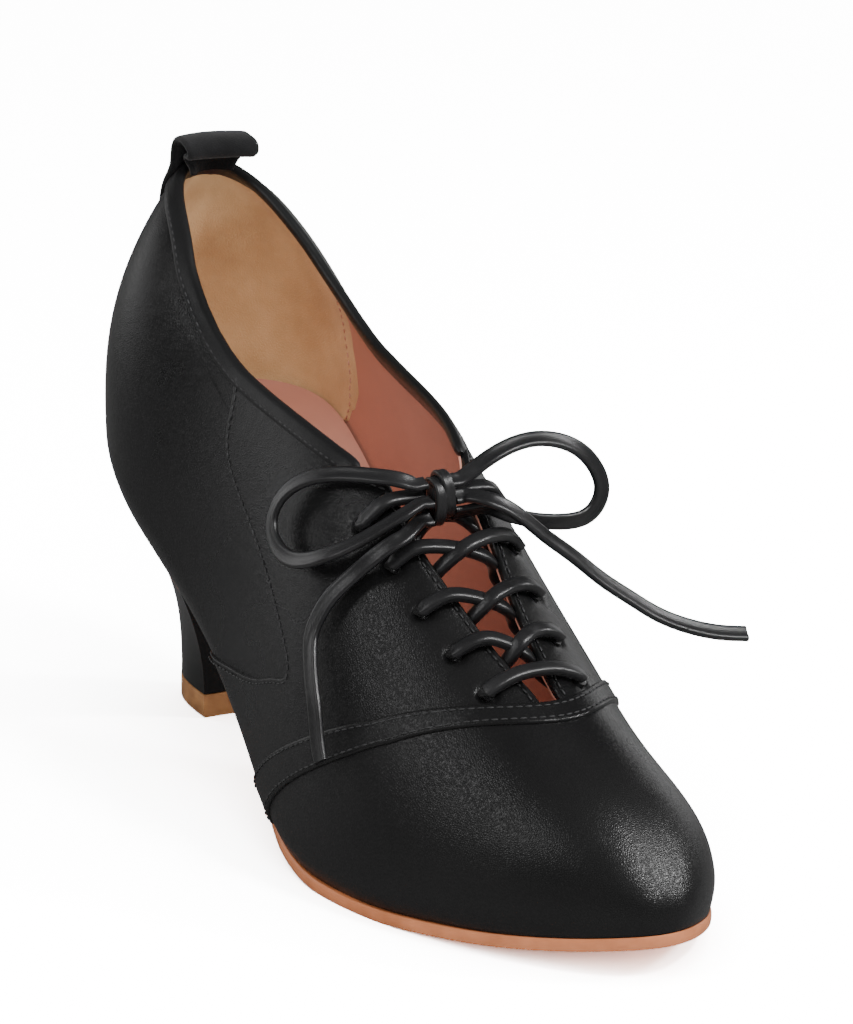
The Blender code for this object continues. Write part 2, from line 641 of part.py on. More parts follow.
def back_at(off, z, out):
    """Point of the heel cup at height z, off from its middle, moved outward by out."""
    side = -1.0 if off < 0 else 1.0
    lo, hi = -1.0, 0.0
    for _ in range(34):
        s = (lo + hi) / 2
        x = last(s, 0.5)[0][0]
        for _ in range(6):
            low = FEATHER_Z(x)
            rise = min(max((z - low) / (RIDGE(x) - low), 0.0), 0.999)
            v = 1 - math.asin(rise) * 2 / math.pi
            p = last(s, side * v)[0]
            x = p[0]
        lo, hi = (s, hi) if side * (p[1] - TAB_Y) < abs(off) else (lo, s)
    return skin(np.array(hi), np.array(side * v), out)


# x and z of the strap's middle where it has left the back, how far the row is turned flat, how far its edges
# stand in front of its middle, and its share of the full width
TAB_LOOP = [
    (7.0, 138.1, 0.0, 4.4, 1.0), (7.7, 141.3, 0.1, 4.6, 1.0), (9.6, 144.2, 0.35, 3.6, 1.0),
    (13.0, 146.2, 0.6, 2.2, 1.0), (16.8, 146.6, 0.85, 1.2, 1.0), (20.2, 145.9, 1.0, 0.8, 1.0),
    (21.6, 144.4, 1.0, 0.8, 0.97), (20.4, 143.0, 1.0, 1.0, 0.95), (17.2, 142.7, 0.85, 1.8, 0.9),
    (14.8, 141.7, 0.6, 2.6, 0.85), (13.9, 139.8, 0.25, 3.4, 0.72), (13.5, 137.4, 0.1, 3.4, 0.62),
]
ACROSS = np.linspace(-TAB_HALF, TAB_HALF, 7)
rows = [[back_at(off, z, out) for off in ACROSS]
        for z, out in ((106, 1.1), (113, 1.1), (120, 1.1), (127, 1.2), (133, 1.6))]
for x, z, flat, wrap, wide in TAB_LOOP:
    rows.append([[x + wrap * (off / TAB_HALF) ** 2 + 0.25 * off * wide * flat, TAB_Y + off * wide, z]
                 for off in ACROSS])
grid = np.array(rows, float)
along = np.gradient(grid, axis=0)
aside = np.gradient(grid, axis=1)
thick_n = np.cross(along, aside)
thick_n /= np.linalg.norm(thick_n, axis=-1, keepdims=True)
n_a, n_b = grid.shape[:2]
outer, inner = grid + thick_n * TAB_THICK / 2, grid - thick_n * TAB_THICK / 2
pts = np.concatenate([outer.reshape(-1, 3), inner.reshape(-1, 3)])
quads = []
for a in range(n_a - 1):
    for b in range(n_b - 1):
        i = a * n_b + b
        quads += [[i, i + 1, i + n_b + 1, i + n_b],
                  [n_a * n_b + j for j in (i + n_b, i + n_b + 1, i + 1, i)]]
edge = ([(0, b) for b in range(n_b)] + [(a, n_b - 1) for a in range(1, n_a)]
        + [(n_a - 1, b) for b in range(n_b - 2, -1, -1)] + [(a, 0) for a in range(n_a - 2, 0, -1)])
for k, (a, b) in enumerate(edge):
    c, d = edge[(k + 1) % len(edge)]
    i, j = a * n_b + b, c * n_b + d
    quads.append([j, i, n_a * n_b + i, n_a * n_b + j])
body("pull_tab", pts, quads, SUEDE)
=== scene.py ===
# %% [markdown]
# A women's heeled oxford, the right shoe of a pair.  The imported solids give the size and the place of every
# piece.  This file dresses them: it rebuilds each visible surface from the same last function, finely enough to
# show laps, rolled edges, stitches and lace, and gives each one a leather that reads Object coordinates.
# %% Load the frame
import math

import bmesh
import bpy
import numpy as np
from mathutils import Matrix


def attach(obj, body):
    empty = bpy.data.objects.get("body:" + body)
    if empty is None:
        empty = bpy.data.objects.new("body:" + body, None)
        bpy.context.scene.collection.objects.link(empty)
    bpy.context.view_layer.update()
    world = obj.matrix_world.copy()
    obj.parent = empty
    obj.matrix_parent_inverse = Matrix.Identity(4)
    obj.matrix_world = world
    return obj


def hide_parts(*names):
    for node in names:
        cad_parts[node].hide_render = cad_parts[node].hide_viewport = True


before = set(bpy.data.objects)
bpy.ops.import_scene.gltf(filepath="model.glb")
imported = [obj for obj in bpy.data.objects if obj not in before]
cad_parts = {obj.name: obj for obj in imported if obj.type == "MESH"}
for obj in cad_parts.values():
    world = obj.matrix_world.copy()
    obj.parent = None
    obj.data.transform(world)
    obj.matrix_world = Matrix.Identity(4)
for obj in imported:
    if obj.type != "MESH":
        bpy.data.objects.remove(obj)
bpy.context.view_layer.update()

# %% [markdown]
# Shoemakers work from a last.  Here the last is one function of two numbers: s runs from the back seam to the
# toe, v from the lateral feather line over the ridge to the medial one.  The sizes are in millimetres, with the
# heel at x = 0, the lateral side towards -y and the floor at z = 0.
# %% Sizes of the last
MM = 0.001
ORIGIN_X, ORIGIN_Y = 116.5, -1.05        # point under the middle of the shoe, its free laces left out
LENGTH = 236.0
FAN_X, TIP_X, TIP_TOP_X = 40.0, 196.0, 209.0
TOE_POWER, CUP_POWER = 2.4, 2.6
TUCK, TUCK_RISE, TUCK_TOE = 2.6, 9.0, 1.0
TOE_RUN = [190.0, 225.0]                 # x over which the tuck changes to that of the toe
WALL, LAP, GAP = 1.7, 0.75, 0.3
LINING = 0.85                            # the inner half of the wall

# x, half width lateral, half width medial, centre y, ridge z, squareness of the section
SECTIONS = [
    (0, 31.0, 29.0, -3.0, 147, 3.2), (20, 33.0, 30.0, -3.0, 139, 3.15), (40, 33.0, 30.0, -3.0, 129.5, 3.0),
    (60, 31.0, 29.0, -2.5, 122, 2.75), (80, 31.0, 29.5, -2.0, 118.5, 2.5), (100, 34.0, 32.0, -1.5, 113.5, 2.2),
    (130, 39.5, 38.0, -2.0, 95.5, 1.95), (158, 41.0, 41.0, -0.5, 71.5, 1.85), (185, 37.0, 35.5, 3.0, 53.5, 1.9),
    (210, 28.5, 28.9, 6.5, 40.5, 2.45), (236, 17.5, 20.0, 7.5, 30.3, 3.1),
]
# x, height of the feather line, its rise on the medial side
FEATHER = [
    (0, 71.0, 0.0), (20, 68.0, 2.0), (46, 57.0, 4.5), (60, 48.5, 5.0), (75, 38.5, 5.0), (90, 28.5, 4.5),
    (105, 19.2, 3.4), (120, 11.2, 2.0), (133, 6.3, 0.8), (145, 4.0, 0.2), (155, 3.5, 0.0), (170, 3.5, 0.0),
    (185, 4.3, 0.0), (205, 6.3, 0.0), (222, 9.0, 0.0), (236, 12.0, 0.0),
]
# height above the feather line, x of the back seam
BACK = [(0, 4.0), (12, -0.5), (26, -2.5), (42, 0.5), (56, 5.0), (70, 9.0), (90, 14.0)]
# x, height of the topline
TOPLINE = [(8, 140.5), (20, 136.0), (35, 127.0), (45, 118.5), (57, 110.5), (72, 105.5), (90, 102.5),
           (110, 99.5), (134, 94.0)]
# |v|, s of the vamp band's upper edge, width of the band in s
BAND = [
    (0.00, 0.530, 0.029), (0.30, 0.491, 0.029), (0.45, 0.452, 0.030), (0.52, 0.431, 0.031),
    (0.57, 0.415, 0.032), (0.61, 0.400, 0.033), (0.66, 0.380, 0.035), (0.76, 0.336, 0.038),
    (0.86, 0.288, 0.040), (0.94, 0.254, 0.041), (1.00, 0.236, 0.042),
]
# |v|, s of the quarter's back edge
QUARTER = [
    (0.00, 0.020), (0.30, 0.065), (0.447, 0.100), (0.513, 0.106), (0.563, 0.111), (0.600, 0.124),
    (0.630, 0.155), (0.655, 0.208), (0.680, 0.262), (0.710, 0.287), (0.754, 0.268), (0.804, 0.239),
    (0.869, 0.196), (0.92, 0.158), (1.00, 0.108),
]
# x of each eyelet from the toe end, and its distance from the middle of the gap
EYELETS = [(177.5, 12.3), (166.0, 13.5), (154.5, 15.0), (143.0, 16.2), (131.5, 18.2)]
# x, half width of the gap between the facings
SLIT = [(122, 10.5), (146, 9.0), (158, 6.6), (170, 4.7), (182, 2.7)]
SLIT_BACK, SLIT_TOP = 100.0, 134.0       # the gap is cut in front of the first, the topline behind the second


def curve(xs, ys):
    """Natural cubic through the points."""
    xs, ys = np.array(xs, float), np.array(ys, float)
    n, h = len(xs), np.diff(xs)
    a, r = np.eye(n), np.zeros(n)
    for i in range(1, n - 1):
        a[i, i - 1:i + 2] = [h[i - 1], 2 * (h[i - 1] + h[i]), h[i]]
        r[i] = 6 * ((ys[i + 1] - ys[i]) / h[i] - (ys[i] - ys[i - 1]) / h[i - 1])
    m = np.linalg.solve(a, r)

    def f(x):
        x = np.clip(np.asarray(x, float), xs[0], xs[-1])
        i = np.clip(np.searchsorted(xs, x) - 1, 0, n - 2)
        p, q, d = xs[i + 1] - x, x - xs[i], h[i]
        return ((m[i] * p ** 3 + m[i + 1] * q ** 3) / (6 * d)
                + (ys[i] / d - m[i] * d / 6) * p + (ys[i + 1] / d - m[i + 1] * d / 6) * q)
    return f


def columns(rows):
    """One curve per column, each over the first column."""
    return [curve([row[0] for row in rows], [row[k] for row in rows]) for k in range(1, len(rows[0]))]


WIDTH_LAT, WIDTH_MED, CENTRE, RIDGE, SQUARE = columns(SECTIONS)
FEATHER_Z, FEATHER_RISE = columns(FEATHER)
BACK_X, = columns(BACK)
TOP_Z, = columns(TOPLINE)


def both_sides(rows):
    """The rows, and before them the same ones for negative v."""
    return [(-row[0], *row[1:]) for row in rows[:0:-1]] + rows


QUARTER_EDGE, = columns(both_sides(QUARTER))
BAND_TOP, BAND_WIDTH = columns(both_sides(BAND))


# %% The last
def last(s, v):
    """Point of the last at s and v, and its height above the feather line."""
    s, v = np.broadcast_arrays(np.asarray(s, float), np.asarray(v, float))
    side = np.where(v < 0, -1.0, 1.0)
    rise = np.sin((1 - np.abs(v)) * math.pi / 2)
    xb = BACK_X((RIDGE(0) - FEATHER_Z(0)) * rise)
    back = np.sin(np.clip(-s, 0, 1) * math.pi / 2)
    x = np.where(s < 0, FAN_X - (FAN_X - xb) * back,
                 FAN_X + (LENGTH - FAN_X) * np.sin(np.clip(s, 0, 1) * math.pi / 2))
    cup = np.sqrt(np.maximum(0, 1 - back ** CUP_POWER))
    tip = np.sqrt(np.maximum(0, 1 - np.clip((x - TIP_X) / (LENGTH - TIP_X), 0, 1) ** TOE_POWER))
    fall = np.sqrt(np.maximum(0, 1 - np.clip((x - TIP_TOP_X) / (LENGTH - TIP_TOP_X), 0, 1) ** TOE_POWER))
    across = np.sqrt(np.maximum(0, 1 - rise ** SQUARE(x)))
    width = np.where(side < 0, WIDTH_LAT(x), WIDTH_MED(x))
    low = FEATHER_Z(x) + FEATHER_RISE(x) * side * cup
    above = (RIDGE(x) - low) * fall * rise
    return np.stack([x, CENTRE(x) + side * width * cup * tip * across, low + above], -1), above


def normal(s, v, e=2e-3):
    """Outward unit normal of the last."""
    s = np.clip(s, -1 + 1e-6, 0.985)
    v = np.asarray(v, float)
    v = np.where(np.abs(v) < 1e-9, np.where(v < 0, -1e-9, 1e-9), v)
    along = last(s + e, v)[0] - last(np.maximum(s - e, -1), v)[0]
    over = last(s, np.minimum(v + e, 1))[0] - last(s, np.maximum(v - e, -1))[0]
    n = np.cross(along, over)
    return n / np.maximum(np.linalg.norm(n, axis=-1, keepdims=True), 1e-12)


def skin(s, v, out=0.0):
    """Point of the upper's outer face moved outward by out."""
    p, above = last(s, v)
    n = normal(s, v)
    level = n * np.array([1, 1, 0])
    level /= np.maximum(np.linalg.norm(level, axis=-1, keepdims=True), 1e-9)
    turn = np.interp(p[..., 0], TOE_RUN, [TUCK, TUCK_TOE]) * np.clip(1 - above / TUCK_RISE, 0, 1) ** 2
    return p - turn[..., None] * level + np.asarray(out)[..., None] * n


def s_at(x):
    """s of the column over x, in front of the heel cup."""
    return np.arcsin(np.clip((x - FAN_X) / (LENGTH - FAN_X), 0, 1)) * 2 / math.pi


def at(x, y, out=0.0):
    """Point of the outer face over plan position x, y."""
    s, side = s_at(x), -1.0 if y < CENTRE(x) else 1.0
    lo, hi = 0.0, 1.0
    for _ in range(40):
        mid = (lo + hi) / 2
        lo, hi = (mid, hi) if side * (last(s, side * mid)[0][1] - y) < 0 else (lo, mid)
    return skin(np.array(s), np.array(side * hi), out)


def bed(x, y):
    """Height of the surface the foot bed lies on."""
    off = y - CENTRE(x)
    return FEATHER_Z(x) + FEATHER_RISE(x) * off / (np.where(off < 0, WIDTH_LAT(x), WIDTH_MED(x)) - TUCK)


def rim(s, side, out, drop=0.0):
    """Point beside the feather line, out of it by out in plan, and drop above the bed."""
    p, n = skin(s, side), normal(s, side * 0.999)
    n[..., 2] = 0
    n = np.where((np.abs(s) > 0.999)[..., None], np.array([1.0, 0, 0]) * np.sign(s)[..., None], n)
    p = p + np.asarray(out)[..., None] * n / np.linalg.norm(n, axis=-1, keepdims=True)
    p[..., 2] = bed(p[..., 0], p[..., 1]) + drop
    return p


def seam(k, v):
    """s of seam k at v: 1 the quarter's back edge, 2 the band's upper edge, 3 its lower edge."""
    v = np.abs(v)
    if k == 1:
        return QUARTER_EDGE(v)
    return BAND_TOP(v) if k == 2 else BAND_TOP(v) + BAND_WIDTH(v)


print("last: heel", last(-1, -1)[0].round(1), "toe", last(1, -1)[0].round(1))


# %% [markdown]
# The camera stands where the photographer stood: in front of the toe, to the lateral side, and a little above.
# It keeps that angle and comes closer, so that the one shoe fills the picture.
# %% Camera
AZIMUTH, ELEVATION, ROLL = math.radians(61.5), math.radians(19.47), math.radians(1.35)
DISTANCE = 3.27
FOCAL_PIXELS, WIDTH_PIXELS = 13500.0, 853.0
SENSOR = 36.0
AIM = np.array([120.0, 0.0, 60.0])       # the point that the angle was measured round, mm
AIM_RIGHT, AIM_UP = 3.3, 20.2            # from there to the middle of the one shoe in the picture, mm

back = np.array([math.sin(AZIMUTH) * math.cos(ELEVATION), -math.cos(AZIMUTH) * math.cos(ELEVATION),
                 math.sin(ELEVATION)])
level = np.array([math.cos(AZIMUTH), math.sin(AZIMUTH), 0.0])
rise = np.cross(back, level)
right = level * math.cos(ROLL) + rise * math.sin(ROLL)
up = rise * math.cos(ROLL) - level * math.sin(ROLL)


def place(p):
    """Millimetres on the last to metres in the frame."""
    return (np.asarray(p, float) - np.array([ORIGIN_X, ORIGIN_Y, 0.0])) * MM


camera = bpy.data.objects.new("camera", bpy.data.cameras.new("camera"))
bpy.context.scene.collection.objects.link(camera)
eye = place(AIM + AIM_RIGHT * right + AIM_UP * up) + back * DISTANCE
turn = np.eye(4)
turn[:3, 0], turn[:3, 1], turn[:3, 2], turn[:3, 3] = right, up, back, eye
camera.matrix_world = Matrix(turn.tolist())
camera.data.sensor_fit = "HORIZONTAL"
camera.data.sensor_width = SENSOR
camera.data.lens = FOCAL_PIXELS / WIDTH_PIXELS * SENSOR
camera.data.clip_end = 50.0
bpy.context.scene.camera = camera
print("camera at", eye.round(3), "lens", round(camera.data.lens))


# %% [markdown]
# Every finish shares two effects.  Grain is what smooth calf shows: small cells drawn tight over the last, with
# slow changes of tone where it was polished.  Nap is the short brushed pile of suede.  Each is built once as a
# node group that puts out a height and a tone, and every material sets its own sizes.
# %% Shared effects
def effect(name, sockets, outputs):
    """Empty shader group with float inputs, an object coordinate and float outputs."""
    tree = bpy.data.node_groups.new(name, "ShaderNodeTree")
    for word, value in sockets:
        tree.interface.new_socket(word, in_out="INPUT", socket_type="NodeSocketFloat").default_value = value
    for word in outputs:
        tree.interface.new_socket(word, in_out="OUTPUT", socket_type="NodeSocketFloat")
    given, made = tree.nodes.new("NodeGroupInput"), tree.nodes.new("NodeGroupOutput")
    return tree, given, made, tree.nodes.new("ShaderNodeTexCoord").outputs["Object"]


def math_node(tree, operation, a, b, clamp=False):
    node = tree.nodes.new("ShaderNodeMath")
    node.operation, node.use_clamp = operation, clamp
    for socket, value in zip(node.inputs, (a, b)):
        if isinstance(value, (int, float)):
            socket.default_value = value
        else:
            tree.links.new(value, socket)
    return node.outputs[0]


def noise(tree, where, scale, detail=3.0):
    node = tree.nodes.new("ShaderNodeTexNoise")
    node.inputs["Detail"].default_value = detail
    tree.links.new(where, node.inputs["Vector"])
    if isinstance(scale, (int, float)):
        node.inputs["Scale"].default_value = scale
    else:
        tree.links.new(scale, node.inputs["Scale"])
    return node.outputs["Fac"]


GRAIN, given, made, where = effect("leather_grain", [("Cells", 1900.0), ("Creases", 260.0), ("Polish", 18.0)],
                                   ["Height", "Tone"])
cells = GRAIN.nodes.new("ShaderNodeTexVoronoi")
cells.feature = "DISTANCE_TO_EDGE"
GRAIN.links.new(where, cells.inputs["Vector"])
GRAIN.links.new(given.outputs["Cells"], cells.inputs["Scale"])
tight = math_node(GRAIN, "MULTIPLY", cells.outputs["Distance"], 2.2, True)
crease = noise(GRAIN, where, given.outputs["Creases"])
GRAIN.links.new(math_node(GRAIN, "ADD", math_node(GRAIN, "MULTIPLY", tight, 0.45),
                          math_node(GRAIN, "MULTIPLY", crease, 0.55)), made.inputs["Height"])
GRAIN.links.new(noise(GRAIN, where, given.outputs["Polish"], 4.0), made.inputs["Tone"])

NAP, given, made, where = effect("suede_nap", [("Pile", 2600.0), ("Brushed", 90.0)], ["Height", "Tone"])
NAP.links.new(noise(NAP, where, given.outputs["Pile"], 2.0), made.inputs["Height"])
NAP.links.new(noise(NAP, where, given.outputs["Brushed"], 5.0), made.inputs["Tone"])
print("shared effects:", GRAIN.name, NAP.name)


# %% Materials
def finish(name, dark, light, rough, effect_group, sizes, bump, deep, shine=0.45, sheen=0.0, lit=(0.3, 0.7)):
    """Leather or suede: colour and roughness follow the effect's tone, the bump its height."""
    m = bpy.data.materials.new(name)
    m.use_nodes = True
    tree = m.node_tree
    shader = tree.nodes["Principled BSDF"]
    shader.inputs["Sheen Weight"].default_value = sheen
    shader.inputs["Sheen Roughness"].default_value = 0.5
    shader.inputs["Specular IOR Level"].default_value = shine
    made_effect = tree.nodes.new("ShaderNodeGroup")
    made_effect.node_tree = effect_group
    for word, value in sizes.items():
        made_effect.inputs[word].default_value = value
    tone = tree.nodes.new("ShaderNodeMapRange")
    tone.inputs["From Min"].default_value, tone.inputs["From Max"].default_value = lit
    tree.links.new(made_effect.outputs["Tone"], tone.inputs["Value"])
    colour = tree.nodes.new("ShaderNodeMix")
    colour.data_type = "RGBA"
    colour.inputs["A"].default_value, colour.inputs["B"].default_value = (*dark, 1), (*light, 1)
    tree.links.new(tone.outputs["Result"], colour.inputs["Factor"])
    tree.links.new(colour.outputs["Result"], shader.inputs["Base Color"])
    gloss = tree.nodes.new("ShaderNodeMapRange")
    gloss.inputs["To Min"].default_value, gloss.inputs["To Max"].default_value = rough
    tree.links.new(tone.outputs["Result"], gloss.inputs["Value"])
    tree.links.new(gloss.outputs["Result"], shader.inputs["Roughness"])
    raised = tree.nodes.new("ShaderNodeBump")
    raised.inputs["Strength"].default_value, raised.inputs["Distance"].default_value = bump, deep
    tree.links.new(made_effect.outputs["Height"], raised.inputs["Height"])
    tree.links.new(raised.outputs["Normal"], shader.inputs["Normal"])
    return m


CALF = dict(Cells=1900.0, Creases=260.0, Polish=18.0)
BLACK = finish("black_calf", (0.0035, 0.0035, 0.0037), (0.0062, 0.0061, 0.0062), (0.25, 0.33), GRAIN, CALF,
               0.6, 0.00016, shine=0.42)
HEEL_BLACK = finish("heel_calf", (0.0045, 0.0045, 0.0047), (0.0075, 0.0074, 0.0073), (0.28, 0.34), GRAIN,
                    dict(CALF, Cells=2200.0), 0.25, 0.0001, shine=0.5)
EDGE_BLACK = finish("rolled_edge_calf", (0.004, 0.004, 0.0042), (0.0075, 0.0075, 0.0078), (0.32, 0.42), GRAIN,
                    dict(CALF, Creases=500.0), 0.4, 0.00012)
LACE_BLACK = finish("lace_calf", (0.0045, 0.0045, 0.0048), (0.0095, 0.0095, 0.01), (0.27, 0.37), GRAIN,
                    dict(CALF, Cells=2600.0, Creases=700.0, Polish=60.0), 0.45, 0.00012, shine=0.75)
THREAD = finish("black_thread", (0.012, 0.012, 0.0125), (0.03, 0.03, 0.031), (0.4, 0.55), NAP,
                dict(Pile=6000.0, Brushed=400.0), 0.3, 0.00005)
TAB_SUEDE = finish("black_suede_nap", (0.003, 0.003, 0.0032), (0.009, 0.009, 0.0095), (0.9, 1.0), NAP,
                   dict(Pile=2600.0, Brushed=120.0), 0.6, 0.0002, shine=0.15, sheen=0.08)
GRIP_SUEDE = finish("tan_suede_nap", (0.56, 0.355, 0.18), (0.73, 0.50, 0.27), (0.85, 0.95), NAP,
                    dict(Pile=2200.0, Brushed=70.0), 0.55, 0.00025, shine=0.2, sheen=0.1)
PINK = finish("pink_lining_calf", (0.50, 0.225, 0.165), (0.58, 0.27, 0.20), (0.5, 0.62), GRAIN,
              dict(CALF, Cells=1500.0, Polish=30.0), 0.18, 0.0001)
SOLE_TAN = finish("sole_edge", (0.33, 0.105, 0.036), (0.46, 0.155, 0.06), (0.36, 0.5), GRAIN,
                  dict(CALF, Cells=900.0, Polish=120.0), 0.12, 0.0001)
LIFT_TAN = finish("top_lift_edge", (0.21, 0.088, 0.027), (0.32, 0.15, 0.05), (0.45, 0.6), GRAIN,
                  dict(CALF, Cells=900.0, Polish=260.0), 0.12, 0.0001)
PALE_THREAD = finish("pink_thread", (0.5, 0.25, 0.17), (0.62, 0.34, 0.24), (0.6, 0.75), NAP,
                     dict(Pile=6000.0, Brushed=400.0), 0.3, 0.00005)
print("materials:", len(bpy.data.materials))


# %% [markdown]
# A panel of leather is a sheet with a real thickness, so each one is a closed shell: a grid of points on its
# outer face, the same grid on its inner face, and a rim that joins them.  The helper below makes any such
# shell, and the finishing helper makes it ride on the shoe.
# %% Shell helpers
SMOOTH_ANGLE = math.radians(42)


def make(name, points, faces, mat, slot, replaces=(), recalc=True):
    """Mesh piece from points in mm, doubles merged, faces outward."""
    mesh = bpy.data.meshes.new(name)
    mesh.from_pydata(place(points).tolist(), [], faces)
    bm = bmesh.new()
    bm.from_mesh(mesh)
    bmesh.ops.remove_doubles(bm, verts=bm.verts, dist=2e-6)
    if recalc:
        bmesh.ops.recalc_face_normals(bm, faces=bm.faces)
    bm.to_mesh(mesh)
    bm.free()
    mesh.materials.append(mat)
    mesh.shade_smooth()
    mesh.set_sharp_from_angle(angle=SMOOTH_ANGLE)
    thing = bpy.data.objects.new(name, mesh)
    bpy.context.scene.collection.objects.link(thing)
    return settle(thing, replaces)


def settle(thing, replaces=()):
    """The piece rides on the shoe, the parts it replaces are hidden, and its face count is printed."""
    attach(thing, "root")
    if replaces:
        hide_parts(*replaces)
    print("%-22s %6d faces" % (thing.name, len(thing.data.polygons)))
    return thing


def shell(outer, inner):
    """Points and faces of a closed sheet from two equal grids."""
    n, m = outer.shape[:2]
    points = np.concatenate([outer.reshape(-1, 3), inner.reshape(-1, 3)])
    i, j = np.meshgrid(np.arange(n - 1), np.arange(m - 1), indexing="ij")
    a = (i * m + j).ravel()
    top = np.stack([a, a + m, a + m + 1, a + 1], 1)
    faces = np.concatenate([top, top[:, ::-1] + n * m]).tolist()
    ring = ([(0, k) for k in range(m)] + [(k, m - 1) for k in range(1, n)]
            + [(n - 1, k) for k in range(m - 2, -1, -1)] + [(k, 0) for k in range(n - 2, 0, -1)])
    for k, (p, q) in enumerate(ring):
        r, t = ring[(k + 1) % len(ring)]
        faces.append([p * m + q, r * m + t, n * m + r * m + t, n * m + p * m + q])
    return points, faces


def slab(layers):
    """Points and faces of a body from levels, each an array of stations by lateral, centre, medial."""
    a = np.array(layers)
    many, n = a.shape[:2]

    def i(k, m, c):
        return (k * n + m) * 3 + c
    faces = []
    for m in range(n - 1):
        for c in (0, 1):
            for k in (0, many - 1):
                faces.append([i(k, m, c), i(k, m + 1, c), i(k, m + 1, c + 1), i(k, m, c + 1)])
        for k in range(many - 1):
            for c in (0, 2):
                faces.append([i(k, m, c), i(k, m + 1, c), i(k + 1, m + 1, c), i(k + 1, m, c)])
    for k in range(many - 1):
        for m in (0, n - 1):
            for c in (0, 1):
                faces.append([i(k, m, c), i(k, m, c + 1), i(k + 1, m, c + 1), i(k + 1, m, c)])
    return a.reshape(-1, 3), [f for f in faces]


def spread(n, ends=0.0):
    """n numbers from 0 to 1, closer at both ends as ends grows to 1."""
    t = np.linspace(0, 1, n)
    return (1 - ends) * t + ends * (1 - np.cos(t * math.pi)) / 2


# %% [markdown]
# The upper is cut in pieces: a back panel round the heel, a front quarter lapped over it on each side, the vamp
# with the toe, and a narrow band over the vamp seam.  A lapped edge is a step of 0.75 mm, rounded by skiving,
# and the facings' edges are turned under, which gives them a soft lip.
# %% Where the upper is open
BINDING_H = 2.2                          # the wall ends this far under the topline
ROUND = 0.6                              # radius of a skived or turned edge


def opening_v(s_of_v, side, lower=BINDING_H):
    """|v| where columns meet the collar or the gap between the facings."""
    lo = np.zeros_like(s_of_v(np.array(0.5)) + 0.0)
    hi = np.ones_like(lo)
    for _ in range(34):
        mid = (lo + hi) / 2
        p = last(s_of_v(mid), side * mid)[0]
        half = np.interp(p[..., 0], [row[0] for row in SLIT], [row[1] for row in SLIT])
        cut = (p[..., 0] < SLIT_TOP) & (p[..., 2] > TOP_Z(p[..., 0]) - lower)
        cut |= (p[..., 0] > SLIT_BACK) & (np.abs(p[..., 1] - CENTRE(p[..., 0])) < half)
        lo, hi = np.where(cut, mid, lo), np.where(cut, hi, mid)
    return hi


def mm_along(s):
    """Length of one unit of s along the shoe, mm."""
    return np.where(s < 0, 60.0, (LENGTH - FAN_X) * math.pi / 2 * np.cos(np.clip(s, 0, 0.98) * math.pi / 2))


def rounded(d, r=ROUND):
    """0 at an edge to 1 at a distance r inside it, along a quarter circle."""
    return np.sqrt(np.maximum(0, 1 - (1 - np.clip(d / r, 0, 1)) ** 2))


def grid_of(side, first, final, share, rows, lower=BINDING_H):
    """s, v and distance to the open edge for a panel between two seams on one side."""
    top = opening_v(lambda v: first(v) + (final(v) - first(v)) * share, side, lower)
    v = 1 + (top[:, None] - 1) * rows[None]
    s = first(v) + (final(v) - first(v)) * share[:, None]
    p = last(s, side * v)[0]
    run = np.linalg.norm(np.diff(p, axis=1), axis=-1)
    left = np.concatenate([np.cumsum(run[:, ::-1], axis=1)[:, ::-1], np.zeros((len(share), 1))], 1)
    return s, side * v, left


def on_bed(p):
    """The lowest row of a panel ends on the bed."""
    p[:, 0, 2] = bed(p[:, 0, 0], p[:, 0, 1])
    return p


EDGE_ROWS = 1 - np.array([3.0, 2.2, 1.6, 1.1, 0.7, 0.45, 0.25, 0.1, 0.0]) / 120.0
PANEL_ROWS = np.concatenate([spread(90)[:-1] * EDGE_ROWS[0], EDGE_ROWS])
# closer rows where the quarter's back edge runs along the shoe
FINE = np.concatenate([np.linspace(0, 0.33, 30), np.linspace(0.33, 0.7, 110)[1:], np.linspace(0.7, 1, 40)[1:]])
QUARTER_ROWS = np.concatenate([FINE[:-1] * EDGE_ROWS[0], EDGE_ROWS])

# %% Back panel
# |v|, s of the back panel's front edge, hidden in the quarter
UNDER = [(0.0, 0.03), (0.30, 0.075), (0.44, 0.11), (0.62, 0.31), (1.0, 0.31)]
shares = spread(84)
sheets = []
for side in (-1, 1):
    s, v, left = grid_of(side, lambda v: -1.0 + 0 * v,
                         lambda v: np.interp(v, [row[0] for row in UNDER], [row[1] for row in UNDER]),
                         shares, PANEL_ROWS)
    sink = 0.15 * (s > seam(1, v) + 0.004)
    sheets.append((on_bed(skin(s, v, -sink)), on_bed(skin(s, v, -LINING + 0.05 * (s > seam(1, v))))))
outer = np.concatenate([sheets[0][0][::-1], sheets[1][0][1:]])
inner = np.concatenate([sheets[0][1][::-1], sheets[1][1][1:]])
make("back_panel", *shell(outer, inner), BLACK, "black_leather", ["upper"])

